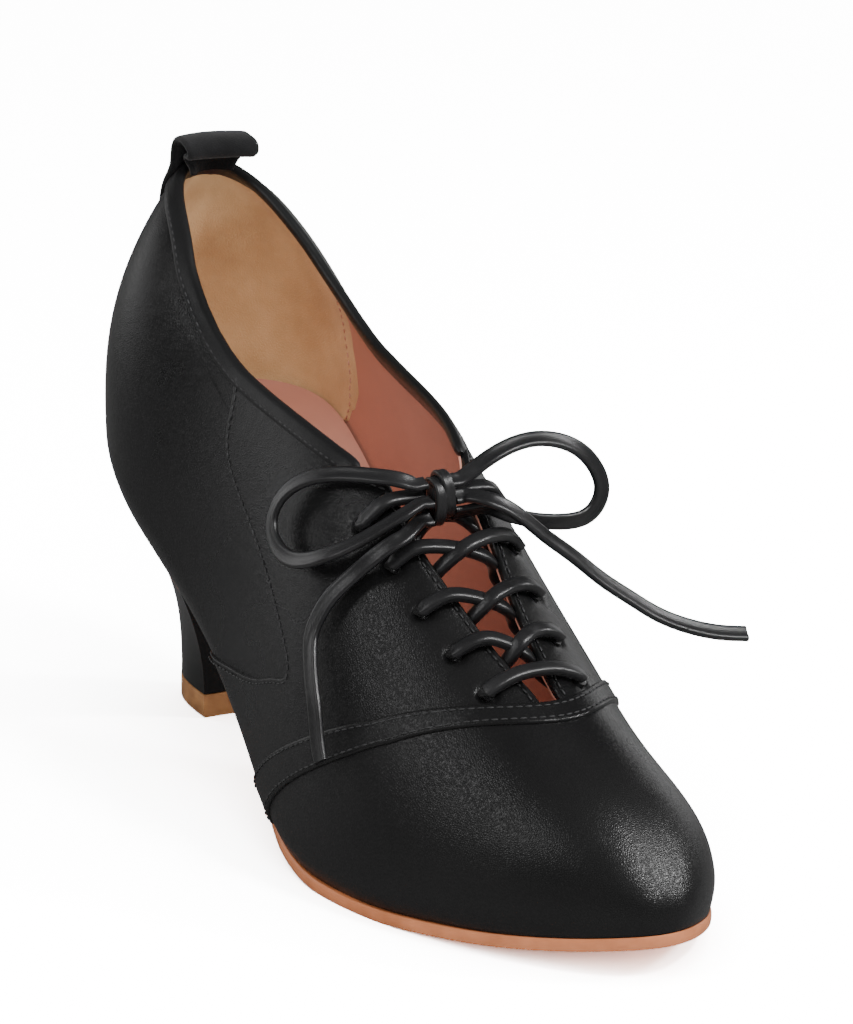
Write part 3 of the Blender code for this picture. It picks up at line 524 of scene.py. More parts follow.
# %% Front quarters
LIP = 0.8                                # the facing's edge turns down by this much
BEAD = 0.25                              # height of the bead along it, depth of the groove its stitches lie in
FACING_ROW = 1.8                         # the facing's row of stitches from its edge
EYELET_DEPTH, EYELET_R = 0.9, 2.4        # the leather sinks in round each eyelet
quarter_shares = np.concatenate([[0, 0.0008, 0.002, 0.004, 0.007, 0.011, 0.016], spread(120)[3:]])
quarters = []
for side, word in ((-1, "lateral"), (1, "medial")):
    s, v, left = grid_of(side, lambda v: seam(1, v), lambda v: (seam(2, v) + seam(3, v)) / 2, quarter_shares,
                         QUARTER_ROWS)
    d = (s - seam(1, v)) * mm_along(s)
    out = 0.03 + (LAP - 0.03) * rounded(d)
    bare = skin(s, v)
    lip = LIP * (1 - rounded(left, LIP)) - BEAD * np.exp(-((left - LIP) / 0.5) ** 2)
    lip += BEAD * np.exp(-((left - FACING_ROW) / 0.4) ** 2)
    lip *= bare[..., 0] > SLIT[0][0] - 3
    for x, off in EYELETS:
        away = np.linalg.norm(bare - at(x, float(CENTRE(x)) + side * off, 0.0), axis=-1)
        lip += EYELET_DEPTH * np.exp(-(away / EYELET_R) ** 4)
    quarters.append(make("quarter_" + word, *shell(on_bed(skin(s, v, out - lip)),
                                                   on_bed(skin(s, v, -LINING + 0 * s))), BLACK, "black_leather"))

# %% Vamp and its band
ACROSS = np.concatenate([-spread(90)[::-1], spread(90)[1:]])
vamp_shares = spread(150)[:, None]
v = np.broadcast_to(ACROSS[None], (len(vamp_shares), len(ACROSS)))
first, final = (seam(2, v) + seam(3, v)) / 2, 1.0
s = first + (final - first) * vamp_shares
vamp = skin(s, v, LAP + 0 * s)
vamp[:, [0, -1], 2] = bed(vamp[:, [0, -1], 0], vamp[:, [0, -1], 1])
vamp_in = skin(s, v, -LINING + 0 * s)
vamp_in[:, [0, -1], 2] = bed(vamp_in[:, [0, -1], 0], vamp_in[:, [0, -1], 1])
make("vamp", *shell(vamp, vamp_in), BLACK, "black_leather")

band_shares = np.array([0, 0.012, 0.035, 0.07, 0.11, 0.2, 0.35, 0.5, 0.65, 0.8, 0.89, 0.93, 0.965, 0.988, 1.0])
v = np.broadcast_to(ACROSS[None], (len(band_shares), len(ACROSS)))
s = seam(2, v) + (seam(3, v) - seam(2, v)) * band_shares[:, None]
d = np.minimum(s - seam(2, v), seam(3, v) - s) * mm_along(s)
band = skin(s, v, LAP + 0.02 + LAP * rounded(d))
band[:, [0, -1], 2] = bed(band[:, [0, -1], 0], band[:, [0, -1], 1])
make("vamp_band", *shell(band, skin(s, v, LAP - 0.3 + 0 * s)), BLACK, "black_leather")

# %% [markdown]
# Inside, the quarters are lined with smooth pink leather, and the heel has a grip of tan suede with the rough
# side in, so that the heel doesn't slip.  Both follow the inner face of the wall; the grip laps over the lining
# with a rounded lower corner and a row of small stitches.
# %% Linings
# |v|, s of the grip's front edge
GRIP = [(0.0, 0.04), (0.30, 0.03), (0.53, 0.020), (0.65, 0.013), (0.78, 0.014), (0.85, 0.004), (0.90, -0.03),
        (0.93, -0.09), (1.0, -0.16)]


def grip_edge(v):
    return np.interp(np.abs(v), [row[0] for row in GRIP], [row[1] for row in GRIP])


lining_shares = spread(150)
for side, word in ((-1, "lateral"), (1, "medial")):
    s, v, left = grid_of(side, lambda v: grip_edge(v) - 0.02, lambda v: (seam(2, v) + seam(3, v)) / 2,
                         lining_shares, PANEL_ROWS)
    lip = 0.5 * (1 - rounded(left, 0.5))
    make("lining_" + word, *shell(on_bed(skin(s, v, -LINING - 0.02 + 0 * s)),
                                  on_bed(skin(s, v, -WALL + lip))), PINK, "pink_lining_leather")
sheets = []
for side in (-1, 1):
    s, v, left = grid_of(side, lambda v: -1.0 + 0 * v, grip_edge, spread(80), PANEL_ROWS)
    d = (grip_edge(v) - s) * 200.0
    sheets.append((on_bed(skin(s, v, -LINING - 0.02 + 0 * s)), on_bed(skin(s, v, -WALL - 0.45 * rounded(d, 0.8)))))
make("heel_grip", *shell(np.concatenate([sheets[0][0][::-1], sheets[1][0][1:]]),
                         np.concatenate([sheets[0][1][::-1], sheets[1][1][1:]])), GRIP_SUEDE, "pink_lining_leather")
v = np.broadcast_to(ACROSS[None], (60, len(ACROSS)))
s = (seam(2, v) + seam(3, v)) / 2 - 0.004
s = s + (0.995 - s) * spread(60)[:, None]
make("lining_toe", *shell(skin(s, v, -LINING - 0.02 + 0 * s), skin(s, v, -WALL + 0 * s)), PINK, "pink_lining_leather")

# %% [markdown]
# The foot bed, the sole and the heel are lofts between an outline on the lateral side and one on the medial
# side.  The sole's edge is what shows: a thin orange-tan line with its corners taken off.
# %% Foot bed, sole and heel
HEEL_S = -np.sin(np.linspace(math.pi / 2, 0, 41))
SOLE_S = np.concatenate([s_at(np.arange(45.6, 176, 2.0)), np.linspace(0.51, 1, 60)])


def layer(s, out, drop):
    """Lateral edge, centre and medial edge of one level, a row per station."""
    side = np.ones_like(s)
    lat, med = rim(s, -side, out, drop), rim(s, side, out, drop)
    mid = (lat + med) / 2
    mid[:, 1] = np.clip(CENTRE(mid[:, 0]), lat[:, 1], med[:, 1])
    mid[:, 2] = bed(mid[:, 0], mid[:, 1]) + drop
    return np.stack([lat, mid, med], 1)


stations = np.concatenate([HEEL_S, SOLE_S])
plan_x = rim(stations, -1.0 + 0 * stations, 0 * stations)[:, 0]
pad = np.interp(plan_x, [60, 105], [4.4, 2.2])
inset = -(WALL + GAP + 0.2)
grow = np.interp(plan_x, [15, 60, 105, 180, 205, 230], [2.4, 2.2, 0.6, 0.2, -0.7, -1.2])
cup = np.interp(plan_x, [30, 60, 105], [5.0, 4.5, 0.0])       # its edges turn up round the heel
CUP_REACH = 14.0                         # length over which the cup falls from the back seam
ROLL_OVER = 0.5                          # the edge is rounded off by this much


def bed_grid(level, extra, turned):
    """Columns from the lateral to the medial edge of a level, and their height above the bed."""
    share = np.concatenate([[-1.0, -1.0], np.linspace(-0.985, 0.985, 41), [1.0, 1.0]])
    edge = np.where((share < 0)[None, :, None], level[:, :1], level[:, 2:])
    p = level[:, 1:2] + (edge - level[:, 1:2]) * np.abs(share)[None, :, None]
    away = np.clip(1 - (level[:, 1, 0] - level[0, 1, 0]) / CUP_REACH, 0, 1) ** 2
    rise = cup[:, None] * np.maximum(np.abs(share)[None] ** 3, away[:, None]) * turned
    p[..., 2] = bed(p[..., 0], p[..., 1]) + extra[:, None] + rise
    p[:, [0, -1], 2] -= ROLL_OVER * turned
    return p


make("foot_bed", *shell(bed_grid(layer(stations, inset + grow, pad), pad, 1),
                        bed_grid(layer(stations, inset + 0 * grow, pad), 0 * pad, 0)),
     PINK, "pink_lining_leather", ["insole"])

plan_x = rim(SOLE_S, 1.0 + 0 * SOLE_S, 0 * SOLE_S)[:, 0]
proud = np.interp(plan_x, [100, 128, 150] + TOE_RUN, [-1.2, 0.9, 1.7, 1.7, 1.1])
thick = np.interp(plan_x, [46, 115], [2.4, 3.3])
sole = []
for out, deep in ((-0.4, 0.0), (-0.12, 0.08), (0.0, 0.3), (0.02, 0.6), (-0.12, 0.88), (-0.4, 1.0)):
    level_of = layer(SOLE_S, proud + out, -GAP)
    low = np.maximum(level_of[:, :, 2] - thick[:, None], 0.0)
    level_of[:, :, 2] = level_of[:, :, 2] * (1 - deep) + low * deep
    sole.append(level_of)
make("sole", *slab(sole), SOLE_TAN, "tan_sole_leather", ["outsole"])

HEEL_Z, LIFT_Z = 6.3, 6.0
LIFT_BREAST, LIFT_DEPTH, LIFT_HALF, LIFT_Y = 31.5, 22.0, 9.4, -1.0
heel_s = np.concatenate([HEEL_S, [SOLE_S[0] - 0.002]])
turn_t = np.linspace(math.pi / 2, 0, len(heel_s))


def d_ring(z, grow):
    """Level D outline of the heel, a row per station from the back to the breast."""
    x = LIFT_BREAST - (LIFT_DEPTH + grow) * np.sin(turn_t) ** 0.85
    y = (LIFT_HALF + grow) * np.abs(np.cos(turn_t)) ** 0.75
    flat = np.full_like(x, z)
    return np.stack([np.stack([x, LIFT_Y + k * y, flat], 1) for k in (-1, 0, 1)], 1)


seat, foot = layer(heel_s, -0.6 + 0 * heel_s, -GAP - 0.25), d_ring(HEEL_Z, 0.0)
levels = []
for f in np.linspace(0, 1, 41):
    g = 1 - (1 - f) ** 1.75
    ring = seat * (1 - g) + foot * g
    ring[:, :, 2] = seat[:, :, 2] * (1 - f) + HEEL_Z * f
    levels.append(ring)
heel = make("heel", *slab(levels), HEEL_BLACK, "heel_cover_leather", ["heel_block"])
make("heel_top_lift", *slab([d_ring(LIFT_Z, -0.25), d_ring(LIFT_Z - 0.3, 0.1), d_ring(0.4, 0.0), d_ring(0.0, -0.35)]),
     LIFT_TAN, "tan_lift_leather", ["top_lift"])

# %% [markdown]
# The collar is bound with a strip folded over the edge of the wall.  Its section is an arch that follows the
# edge round from facing to facing.
# %% Collar binding
ARCH = [(1.2, -2.6), (1.42, -2.35), (1.48, -1.0), (1.5, 0.6), (1.3, 1.5), (0.8, 2.1), (0.0, 2.35), (-0.8, 2.1),
        (-1.3, 1.5), (-1.5, 0.6), (-1.48, -1.0), (-1.42, -2.35), (-1.2, -2.6)]
BIND_END = 121.0


def collar_frames(lower=BINDING_H):
    """Middle of the wall's edge, up along the wall, and outward, from facing to facing round the back."""
    chain = []
    for side in (-1, 1):
        line = []
        for layers, first, final, share in ((0, lambda v: -1.0 + 0 * v, lambda v: seam(1, v), spread(60)),
                                            (1, lambda v: seam(1, v), lambda v: seam(2, v), spread(120)[2:])):
            top = opening_v(lambda v: first(v) + (final(v) - first(v)) * share, side, lower)
            s = first(top) + (final(top) - first(top)) * share
            p = skin(s, side * top, -WALL / 2 + LAP * layers / 2 + 0 * s)
            n = normal(s, side * top)
            rise_up = last(s, side * np.maximum(top - 0.02, 0))[0] - last(s, side * (top + 0.02))[0]
            line += [row for row in zip(p, rise_up, n) if row[0][0] < BIND_END]
        chain.append(line)
    chain = chain[0][::-1] + chain[1][1:]
    p, rise_up, n = (np.array(x) for x in zip(*chain))
    for _ in range(3):
        p[1:-1] = (p[:-2] + 2 * p[1:-1] + p[2:]) / 4
    ahead = np.gradient(p, axis=0)
    ahead /= np.linalg.norm(ahead, axis=1, keepdims=True)
    rise_up -= ahead * (rise_up * ahead).sum(1, keepdims=True)
    rise_up /= np.linalg.norm(rise_up, axis=1, keepdims=True)
    out = np.cross(rise_up, ahead)
    out *= np.sign((out * n).sum(1, keepdims=True))
    return p, rise_up, out


def sweep(centre, a_axis, b_axis, ring):
    """Closed tube whose section is ring, in the two axes at each point."""
    m, n = len(ring), len(centre)
    ring = np.array(ring)
    points = centre[:, None] + a_axis[:, None] * ring[None, :, :1] + b_axis[:, None] * ring[None, :, 1:]
    faces = [[k * m + i, k * m + (i + 1) % m, (k + 1) * m + (i + 1) % m, (k + 1) * m + i]
             for k in range(n - 1) for i in range(m)]
    return points.reshape(-1, 3), faces + [list(range(m))[::-1], [(n - 1) * m + i for i in range(m)]]


edge_p, edge_up, edge_out = collar_frames()
to_end = np.minimum(np.arange(len(edge_p)), np.arange(len(edge_p))[::-1])
slim = (0.45 + 0.55 * rounded(to_end / 5.0, 1.0))[:, None]        # its ends taper off
make("binding", *sweep(edge_p, edge_out * slim, edge_up * slim, ARCH), EDGE_BLACK, "collar_binding_leather", ["collar_binding"])

# %% [markdown]
# The lace is a flat strip of folded leather.  One function sweeps its rounded section along a smooth path, and
# turns the flat side as asked.  The free loops and ends are listed with their real lengths.
# %% Lace helpers
LACE_W, LACE_T = 4.2, 1.9                # width and thickness of the lace
HOLE = 2.0
LIFT = LAP + GAP + 1.9


def smooth_path(points, step=1.0):
    """Points about step mm apart on a centripetal curve through the given ones, and its length."""
    pts = np.array(points, float)
    t = np.concatenate([[0], np.cumsum(np.linalg.norm(np.diff(pts, axis=0), axis=1) ** 0.5)])
    dense = np.stack([curve(t, pts[:, k])(np.linspace(0, t[-1], 600)) for k in range(3)], 1)
    run = np.concatenate([[0], np.cumsum(np.linalg.norm(np.diff(dense, axis=0), axis=1))])
    even = np.linspace(0, run[-1], max(3, int(round(run[-1] / step)) + 1))
    return np.stack([np.interp(even, run, dense[:, k]) for k in range(3)], 1), run[-1]


def section(width, thick, groove, square=3.0, n=28):
    """Rounded flat section, across and through, its middle sunk by groove between the raised edges."""
    t = np.arange(n) * 2 * math.pi / n
    c, s = np.cos(t), np.sin(t)
    x = np.sign(c) * np.abs(c) ** (2 / square)
    return np.stack([x * width / 2, np.sign(s) * (np.abs(s) ** (2 / square) * thick / 2
                                                  - groove * np.exp(-(x / 0.5) ** 4))], 1)


def lace(name, points, flat, replaces=(), width=LACE_W, thick=LACE_T, groove=0.28, mat=LACE_BLACK):
    """Lace along points, with its flat side towards flat, one direction or one per given point."""
    path, length = smooth_path(points)
    ahead = np.gradient(path, axis=0)
    ahead /= np.linalg.norm(ahead, axis=1, keepdims=True)
    flat = np.atleast_2d(np.array(flat, float))
    t = np.linspace(0, 1, len(path))
    facing = np.stack([np.interp(t, np.linspace(0, 1, len(flat)), flat[:, k]) for k in range(3)], 1)
    facing -= ahead * (facing * ahead).sum(1, keepdims=True)
    facing /= np.linalg.norm(facing, axis=1, keepdims=True)
    across = np.cross(ahead, facing)
    thing = make(name, *sweep(path, across, facing, section(width, thick, groove)), mat, "black_lace_leather", replaces)
    return thing, place(path), length * MM


# %% The bow
KNOT = (137.2, -3.0, 91.2)
KNOT_HALF = (4.7, 2.9, 6.8)
MEET = 2.4


def from_knot(side, x, z):
    """Three points straight out of the knot's side."""
    y = KNOT[1] + side * (KNOT_HALF[1] + GAP)
    return [(x, y + side * MEET * part, z) for part in (0, 0.5, 1)]


# the route of each free piece, the direction its flat side faces, and its length in metres
BOW = {
    "loop_left": (from_knot(-1, 136.4, 95.0) + [
        (134.9, -12.0, 96.1), (129.4, -17.2, 96.2), (122.4, -22.2, 95.2), (114.2, -26.9, 91.8),
        (108.8, -30.7, 86.0), (108.6, -33.0, 79.9), (113.8, -34.2, 75.6), (122.8, -33.8, 75.0),
        (133.3, -30.8, 79.4), (137.8, -24.2, 83.6), (140.0, -17.3, 87.8), (140.7, -12.6, 90.4)]
        + from_knot(-1, 139.5, 91.3)[::-1],
        [(0.2, -0.6, 0.8), (0, -0.8, 0.6), (-0.2, -0.9, 0.3), (0, -0.8, 0.6), (0.2, -0.6, 0.8)], 0.106),
    "loop_right": (from_knot(1, 137.4, 95.0) + [
        (138.2, 8.0, 98.6), (138.2, 16.5, 102.1), (137.8, 25.0, 102.3), (137.2, 34.5, 98.5),
        (136.8, 40.5, 92.0), (137.0, 42.0, 85.8), (137.6, 38.5, 81.0), (138.2, 31.0, 80.3),
        (138.9, 21.0, 82.6), (141.6, 12.0, 86.8), (141.9, 7.6, 88.5)]
        + from_knot(1, 139.4, 87.4)[::-1],
        [(0.5, 0, 0.9), (0.6, 0, 0.8), (0.9, 0.1, 0.3), (0.8, 0, -0.3), (0.8, 0, -0.6)], 0.100),
    "end_left": (from_knot(-1, 139.8, 87.0) + [
        (141.0, -10.4, 87.0), (143.6, -13.4, 86.8), (145.6, -16.8, 85.8), (145.6, -19.8, 84.5),
        (144.0, -23.8, 81.2),
        (140.7, -27.2, 76.4), (138.9, -30.9, 72.3), (137.9, -33.6, 68.5), (138.0, -37.0, 62.0),
        (141.0, -39.0, 57.0), (145.0, -40.6, 52.0), (149.0, -41.8, 47.0), (153.0, -42.9, 40.0),
        (156.0, -43.5, 36.0)],
        [(0.5, -0.4, 0.7), (0.4, -0.8, 0.4), (0.3, -0.95, 0.1), (0.3, -0.95, 0.1)], 0.079),
    "end_right": (from_knot(1, 139.6, 91.6) + [
        (144.9, 6.5, 91.8), (147.0, 13.2, 88.0), (146.0, 21.4, 80.9), (143.8, 31.0, 73.2),
        (144.2, 39.0, 66.2), (144.9, 46.5, 60.6), (145.9, 53.5, 55.7), (147.0, 61.5, 51.8),
        (148.1, 69.5, 49.3), (148.7, 77.0, 48.0)],
        [(0.6, 0, 0.8), (0.7, 0.3, 0.6), (0.7, 0.3, 0.6), (0.6, -0.1, 0.8)], 0.094),
}
# each turn of the knot: y of its middle, z of its middle, half height, half depth, lean
TURNS = [(-4.15, 90.3, 5.3, 3.9, 0.03), (-1.75, 92.0, 5.2, 3.6, -0.10)]
TURN_W, TURN_T = 3.0, 1.7
knot_points, knot_faces = [], []


def add_to_knot(points, faces):
    knot_faces.extend([[i + len(knot_points) for i in face] for face in faces])
    knot_points.extend(np.array(points).tolist())


for y, z, tall, deep, lean in TURNS:
    t = np.linspace(math.pi, 3.08 * math.pi, 90)
    wave = [np.sign(f(t)) * np.abs(f(t)) ** 0.8 for f in (np.cos, np.sin)]
    ring = np.stack([KNOT[0] + deep * wave[0], y + lean * tall * wave[1], z + tall * wave[1]], 1)
    ahead = np.gradient(ring, axis=0)
    ahead /= np.linalg.norm(ahead, axis=1, keepdims=True)
    out = np.cross(ahead, [0.0, 1.0, 0.0])
    out /= np.linalg.norm(out, axis=1, keepdims=True)
    add_to_knot(*sweep(ring, np.cross(out, ahead), out, section(TURN_W, TURN_T, 0.2)))
CORE_ROWS, CORE_SIDES, CORE = 16, 24, (3.4, 2.5, 5.2)
core = []
for a in range(CORE_ROWS + 1):
    for b in range(CORE_SIDES):
        t, u = math.pi * a / CORE_ROWS, 2 * math.pi * b / CORE_SIDES
        ray = np.array([math.sin(t) * math.cos(u), math.sin(t) * math.sin(u), math.cos(t)])
        core.append(np.array(KNOT) + ray * np.sum(np.abs(ray / np.array(CORE)) ** 3) ** (-1 / 3))
add_to_knot(core, [[a * CORE_SIDES + b, a * CORE_SIDES + (b + 1) % CORE_SIDES,
                    (a + 1) * CORE_SIDES + (b + 1) % CORE_SIDES, (a + 1) * CORE_SIDES + b]
                   for a in range(CORE_ROWS) for b in range(CORE_SIDES)])
knot = make("knot", knot_points, knot_faces, LACE_BLACK, "black_lace_leather", ["bow_knot"])
for word, (points, flat, real) in BOW.items():
    thing, path, length = lace(word, points, flat, ["bow_" + word])
    print(word, "length", round(length * 1000, 1), "mm")

# %% [markdown]
# Through the eyelets the lace runs as it does on the foot: a straight bar at the lowest pair, then each side
# crosses over the gap, dives under the opposite facing and comes up through the next hole down.
# %% Lacing
UNDER_WALL = -(WALL + 2.2)               # the lace inside the shoe lies this far under the outer face


def over(x, off, lift=LIFT):
    """Point above the facings at x, off from the middle of the gap."""
    return at(x, float(CENTRE(x)) + off, lift)


def up_hole(i, side):
    """The lace's way up through eyelet i."""
    x, off = EYELETS[i]
    return [over(x, side * off, UNDER_WALL), over(x, side * off, -0.4), over(x, side * off, LIFT - 1.3)]


SECTION = dict(width=3.9, thick=2.7, groove=0.0)
lat, med = up_hole(0, -1), up_hole(0, 1)
x1, off1 = EYELETS[0]
lace("lace_bar", lat + [over(x1, -off1 * 0.5, LIFT - 0.2), over(x1, 0.0, LIFT - 0.2), over(x1, off1 * 0.5, LIFT - 0.2)]
     + med[::-1], (0.35, 0, 0.9), ["lace_bar_1"], **SECTION)
for i in (1, 2, 3):
    (xa, offa), (xb, offb) = EYELETS[i], EYELETS[i - 1]
    for side, word in ((-1, "lateral"), (1, "medial")):
        half = float(np.interp(xa, [row[0] for row in SLIT], [row[1] for row in SLIT]))
        x_mid = xa * 0.62 + xb * 0.38
        far = float(np.interp(x_mid, [row[0] for row in SLIT], [row[1] for row in SLIT]))
        high = 1.7 if side > 0 else -0.6
        lace("lace_%s_%d" % (word, i + 1),
             up_hole(i, side) + [over(xa + 0.6, side * (half + offa) / 2), over(xa + 1.6, side * half),
                                 over(x_mid, side * far * 0.1, LAP + 1.2 + high),
                                 over(x_mid + 1.5, side * -(far - 1.6), -0.9),
                                 over(x_mid + 2.2, side * -(far + 1.5), UNDER_WALL)]
             + [over(xb, side * -offb, UNDER_WALL)], (0.35, 0, 0.9),
             ["lace_cross_%d" % (i + 1)] if side < 0 else [], **SECTION)
x4, off4 = EYELETS[3]
x5, off5 = EYELETS[4]
for side, word in ((-1, "lateral"), (1, "medial")):
    below = -WALL - 1.6 - (0 if side < 0 else 3.0)
    lace("lace_top_" + word + "_run",
         [over(x4, side * -off4, UNDER_WALL), over((x4 + x5) / 2, 0.0, below)] + up_hole(4, side)
         + [over(x5 + 0.8, side * off5 * 0.85, LIFT - 0.2), over(x5 + 1.4, side * off5 * 0.66, LIFT + 0.3)]
         + from_knot(side, 134.8, 91.3)[1::-1], (0.35, 0, 0.9), ["lace_top_" + word], **SECTION)

# %% [markdown]
# The pull tab is a suede strap, stitched up the back seam.  It stands over the collar in a soft fold and its end
# is sewn inside.
# %% Pull tab
TAB_HALF, TAB_THICK, TAB_Y = 9.0, 1.5, -3.0
# x and z of the strap's middle, how far the row is turned flat, how far its edges stand in front, its width
TAB_LOOP = [
    (7.0, 138.1, 0.0, 4.4, 1.0), (7.7, 141.3, 0.1, 4.6, 1.0), (9.6, 144.2, 0.35, 3.6, 1.0),
    (13.0, 146.2, 0.6, 2.2, 1.0), (16.8, 146.6, 0.85, 1.2, 1.0), (20.2, 145.9, 1.0, 0.8, 1.0),
    (21.6, 144.4, 1.0, 0.8, 0.97), (20.4, 143.0, 1.0, 1.0, 0.95), (17.2, 142.7, 0.85, 1.8, 0.9),
    (14.8, 141.7, 0.6, 2.6, 0.85), (13.9, 139.8, 0.25, 3.4, 0.72), (13.5, 137.4, 0.1, 3.4, 0.62),
]


def back_at(off, z, out):
    """Point of the heel cup at height z, off from its middle, moved outward by out."""
    side = -1.0 if off < 0 else 1.0
    lo, hi = -1.0, 0.0
    for _ in range(34):
        s = (lo + hi) / 2
        x = last(s, 0.5)[0][0]
        for _ in range(6):
            low = FEATHER_Z(x)
            v = 1 - math.asin(min(max((z - low) / (RIDGE(x) - low), 0.0), 0.999)) * 2 / math.pi
            p = last(s, side * v)[0]
            x = p[0]
        lo, hi = (s, hi) if side * (p[1] - TAB_Y) < abs(off) else (lo, s)
    return skin(np.array(hi), np.array(side * v), out)


tab_across = np.linspace(-TAB_HALF, TAB_HALF, 7)
rows = [[back_at(off, z, out) for off in tab_across]
        for z, out in ((106, 1.1), (113, 1.1), (120, 1.1), (127, 1.2), (133, 1.6))]
for x, z, flat, wrap, wide in TAB_LOOP:
    rows.append([[x + wrap * (off / TAB_HALF) ** 2 + 0.25 * off * wide * flat, TAB_Y + off * wide, z]
                 for off in tab_across])
rows = np.array(rows, float)
cross = np.linspace(0, 6, 31)
rows = np.stack([[curve(range(7), r[:, k])(cross) for k in range(3)] for r in rows]).transpose(0, 2, 1)
TAB_ROWS = 110


def resampled(points):
    """The same curve in TAB_ROWS even steps."""
    path = smooth_path(points, 0.25)[0]
    return path[np.linspace(0, len(path) - 1, TAB_ROWS).round().astype(int)]


tab = np.stack([resampled(rows[:, j]) for j in range(rows.shape[1])], 1)
tab_n = np.cross(np.gradient(tab, axis=0), np.gradient(tab, axis=1))
tab_n /= np.linalg.norm(tab_n, axis=-1, keepdims=True)
from_edge = np.minimum(np.arange(31), np.arange(31)[::-1]) * 0.6
half_thick = (0.25 + 0.75 * rounded(from_edge, 1.0))[None, :, None] * TAB_THICK / 2
make("tab", *shell(tab + tab_n * half_thick, tab - tab_n * half_thick), TAB_SUEDE, "black_suede", ["pull_tab"])

# %% [markdown]
# Stitches follow the edges of the panels, 2 to 3 mm apart.  The rows are curves on the surface; a Geometry Nodes
# tree puts a small thread on each step of a curve, turned along it, and the result is made a plain mesh.
# %% Stitch tree
def stitch_tree():
    tree = bpy.data.node_groups.new("stitch_row", "GeometryNodeTree")
    face = tree.interface
    face.new_socket("Geometry", in_out="INPUT", socket_type="NodeSocketGeometry")
    for word, value in (("Pitch", 0.0024), ("Length", 0.0018), ("Thickness", 0.0005)):
        face.new_socket(word, in_out="INPUT", socket_type="NodeSocketFloat").default_value = value
    face.new_socket("Thread", in_out="INPUT", socket_type="NodeSocketMaterial")
    face.new_socket("Geometry", in_out="OUTPUT", socket_type="NodeSocketGeometry")
    new, link = tree.nodes.new, tree.links.new
    given, made = new("NodeGroupInput"), new("NodeGroupOutput")
    walk = new("GeometryNodeCurveToPoints")
    walk.mode = "LENGTH"
    ball = new("GeometryNodeMeshUVSphere")
    ball.inputs["Segments"].default_value, ball.inputs["Rings"].default_value = 8, 6
    ball.inputs["Radius"].default_value = 0.5
    size = new("ShaderNodeCombineXYZ")
    put, real = new("GeometryNodeInstanceOnPoints"), new("GeometryNodeRealizeInstances")
    smooth, paint = new("GeometryNodeSetShadeSmooth"), new("GeometryNodeSetMaterial")
    link(given.outputs["Geometry"], walk.inputs["Curve"])
    link(given.outputs["Pitch"], walk.inputs["Length"])
    for axis, word in (("X", "Thickness"), ("Y", "Thickness"), ("Z", "Length")):
        link(given.outputs[word], size.inputs[axis])
    link(walk.outputs["Points"], put.inputs["Points"])
    link(ball.outputs["Mesh"], put.inputs["Instance"])
    link(walk.outputs["Rotation"], put.inputs["Rotation"])
    link(size.outputs["Vector"], put.inputs["Scale"])
    link(put.outputs["Instances"], real.inputs["Geometry"])
    link(real.outputs["Geometry"], smooth.inputs["Geometry"])
    link(smooth.outputs["Geometry"], paint.inputs["Geometry"])
    link(given.outputs["Thread"], paint.inputs["Material"])
    link(paint.outputs["Geometry"], made.inputs["Geometry"])
    return tree


STITCH = stitch_tree()


def stitches(name, rows, thread, pitch=2.4, length=1.8, thickness=0.5):
    """Rows of stitches along lines in mm, made one plain mesh."""
    line = bpy.data.curves.new(name, "CURVE")
    line.dimensions = "3D"
    for row in rows:
        spline = line.splines.new("POLY")
        spline.points.add(len(row) - 1)
        spline.points.foreach_set("co", np.concatenate([place(row), np.ones((len(row), 1))], 1).ravel())
    source = bpy.data.objects.new(name + "_line", line)
    bpy.context.scene.collection.objects.link(source)
    nodes = source.modifiers.new("stitches", "NODES")
    nodes.node_group = STITCH
    sockets = {item.name: item.identifier for item in STITCH.interface.items_tree if item.in_out == "INPUT"}
    for word, value in (("Pitch", pitch * MM), ("Length", length * MM), ("Thickness", thickness * MM)):
        nodes[sockets[word]] = value
    nodes[sockets["Thread"]] = thread
    graph = bpy.context.evaluated_depsgraph_get()
    mesh = bpy.data.meshes.new_from_object(source.evaluated_get(graph), depsgraph=graph)
    mesh.name = name
    bpy.data.objects.remove(source, do_unlink=True)
    thing = bpy.data.objects.new(name, mesh)
    bpy.context.scene.collection.objects.link(thing)
    return settle(thing)


# %% Stitch rows
def v_line(a, b, n=200):
    return np.linspace(a, b, n)


THREAD_OUT = 0.06                        # the thread's middle lies this far above the leather
rows = []
for side in (-1, 1):
    top = opening_v(lambda v: seam(1, v), side)
    v = v_line(0.995, float(top) + 0.02, 500)
    line = skin(seam(1, v), side * v, LAP + THREAD_OUT + 0 * v)
    across = side * np.cross(normal(seam(1, v), side * v), np.gradient(line, axis=0))
    rows.append(line + across / np.linalg.norm(across, axis=1, keepdims=True) * 1.3)
v = v_line(-0.995, 0.995, 400)
for k, inset_mm in ((2, 1.3), (3, -1.3)):
    s = seam(k, v)
    s = s + inset_mm / mm_along(s)
    rows.append(skin(s, v, 2 * LAP + 0.02 + THREAD_OUT + 0 * s))
for side in (-1, 1):
    share = np.linspace(0.3, 0.985, 260)
    s, v, left = grid_of(side, lambda v: seam(1, v), lambda v: seam(2, v), share, PANEL_ROWS)
    row = []
    for k in range(len(share)):
        f = np.interp(FACING_ROW, left[k][::-1], np.arange(len(PANEL_ROWS))[::-1])
        vk = np.interp(f, np.arange(len(PANEL_ROWS)), v[k])
        sk = np.interp(f, np.arange(len(PANEL_ROWS)), s[k])
        row.append(skin(np.array(sk), np.array(vk), LAP + THREAD_OUT))
    rows.append(np.array([p for p in row if p[0] > BIND_END - 2]))
rows.append(edge_p + edge_up * -1.75 + edge_out * 1.3)
stitches("stitches_upper", rows, THREAD, pitch=2.3, length=1.75, thickness=0.5)
rows = []
for side in (-1, 1):
    v = v_line(0.5, 0.93, 80)
    s = grip_edge(v) - 0.012
    rows.append(skin(s, side * v, -WALL - 0.45 - THREAD_OUT + 0 * s))
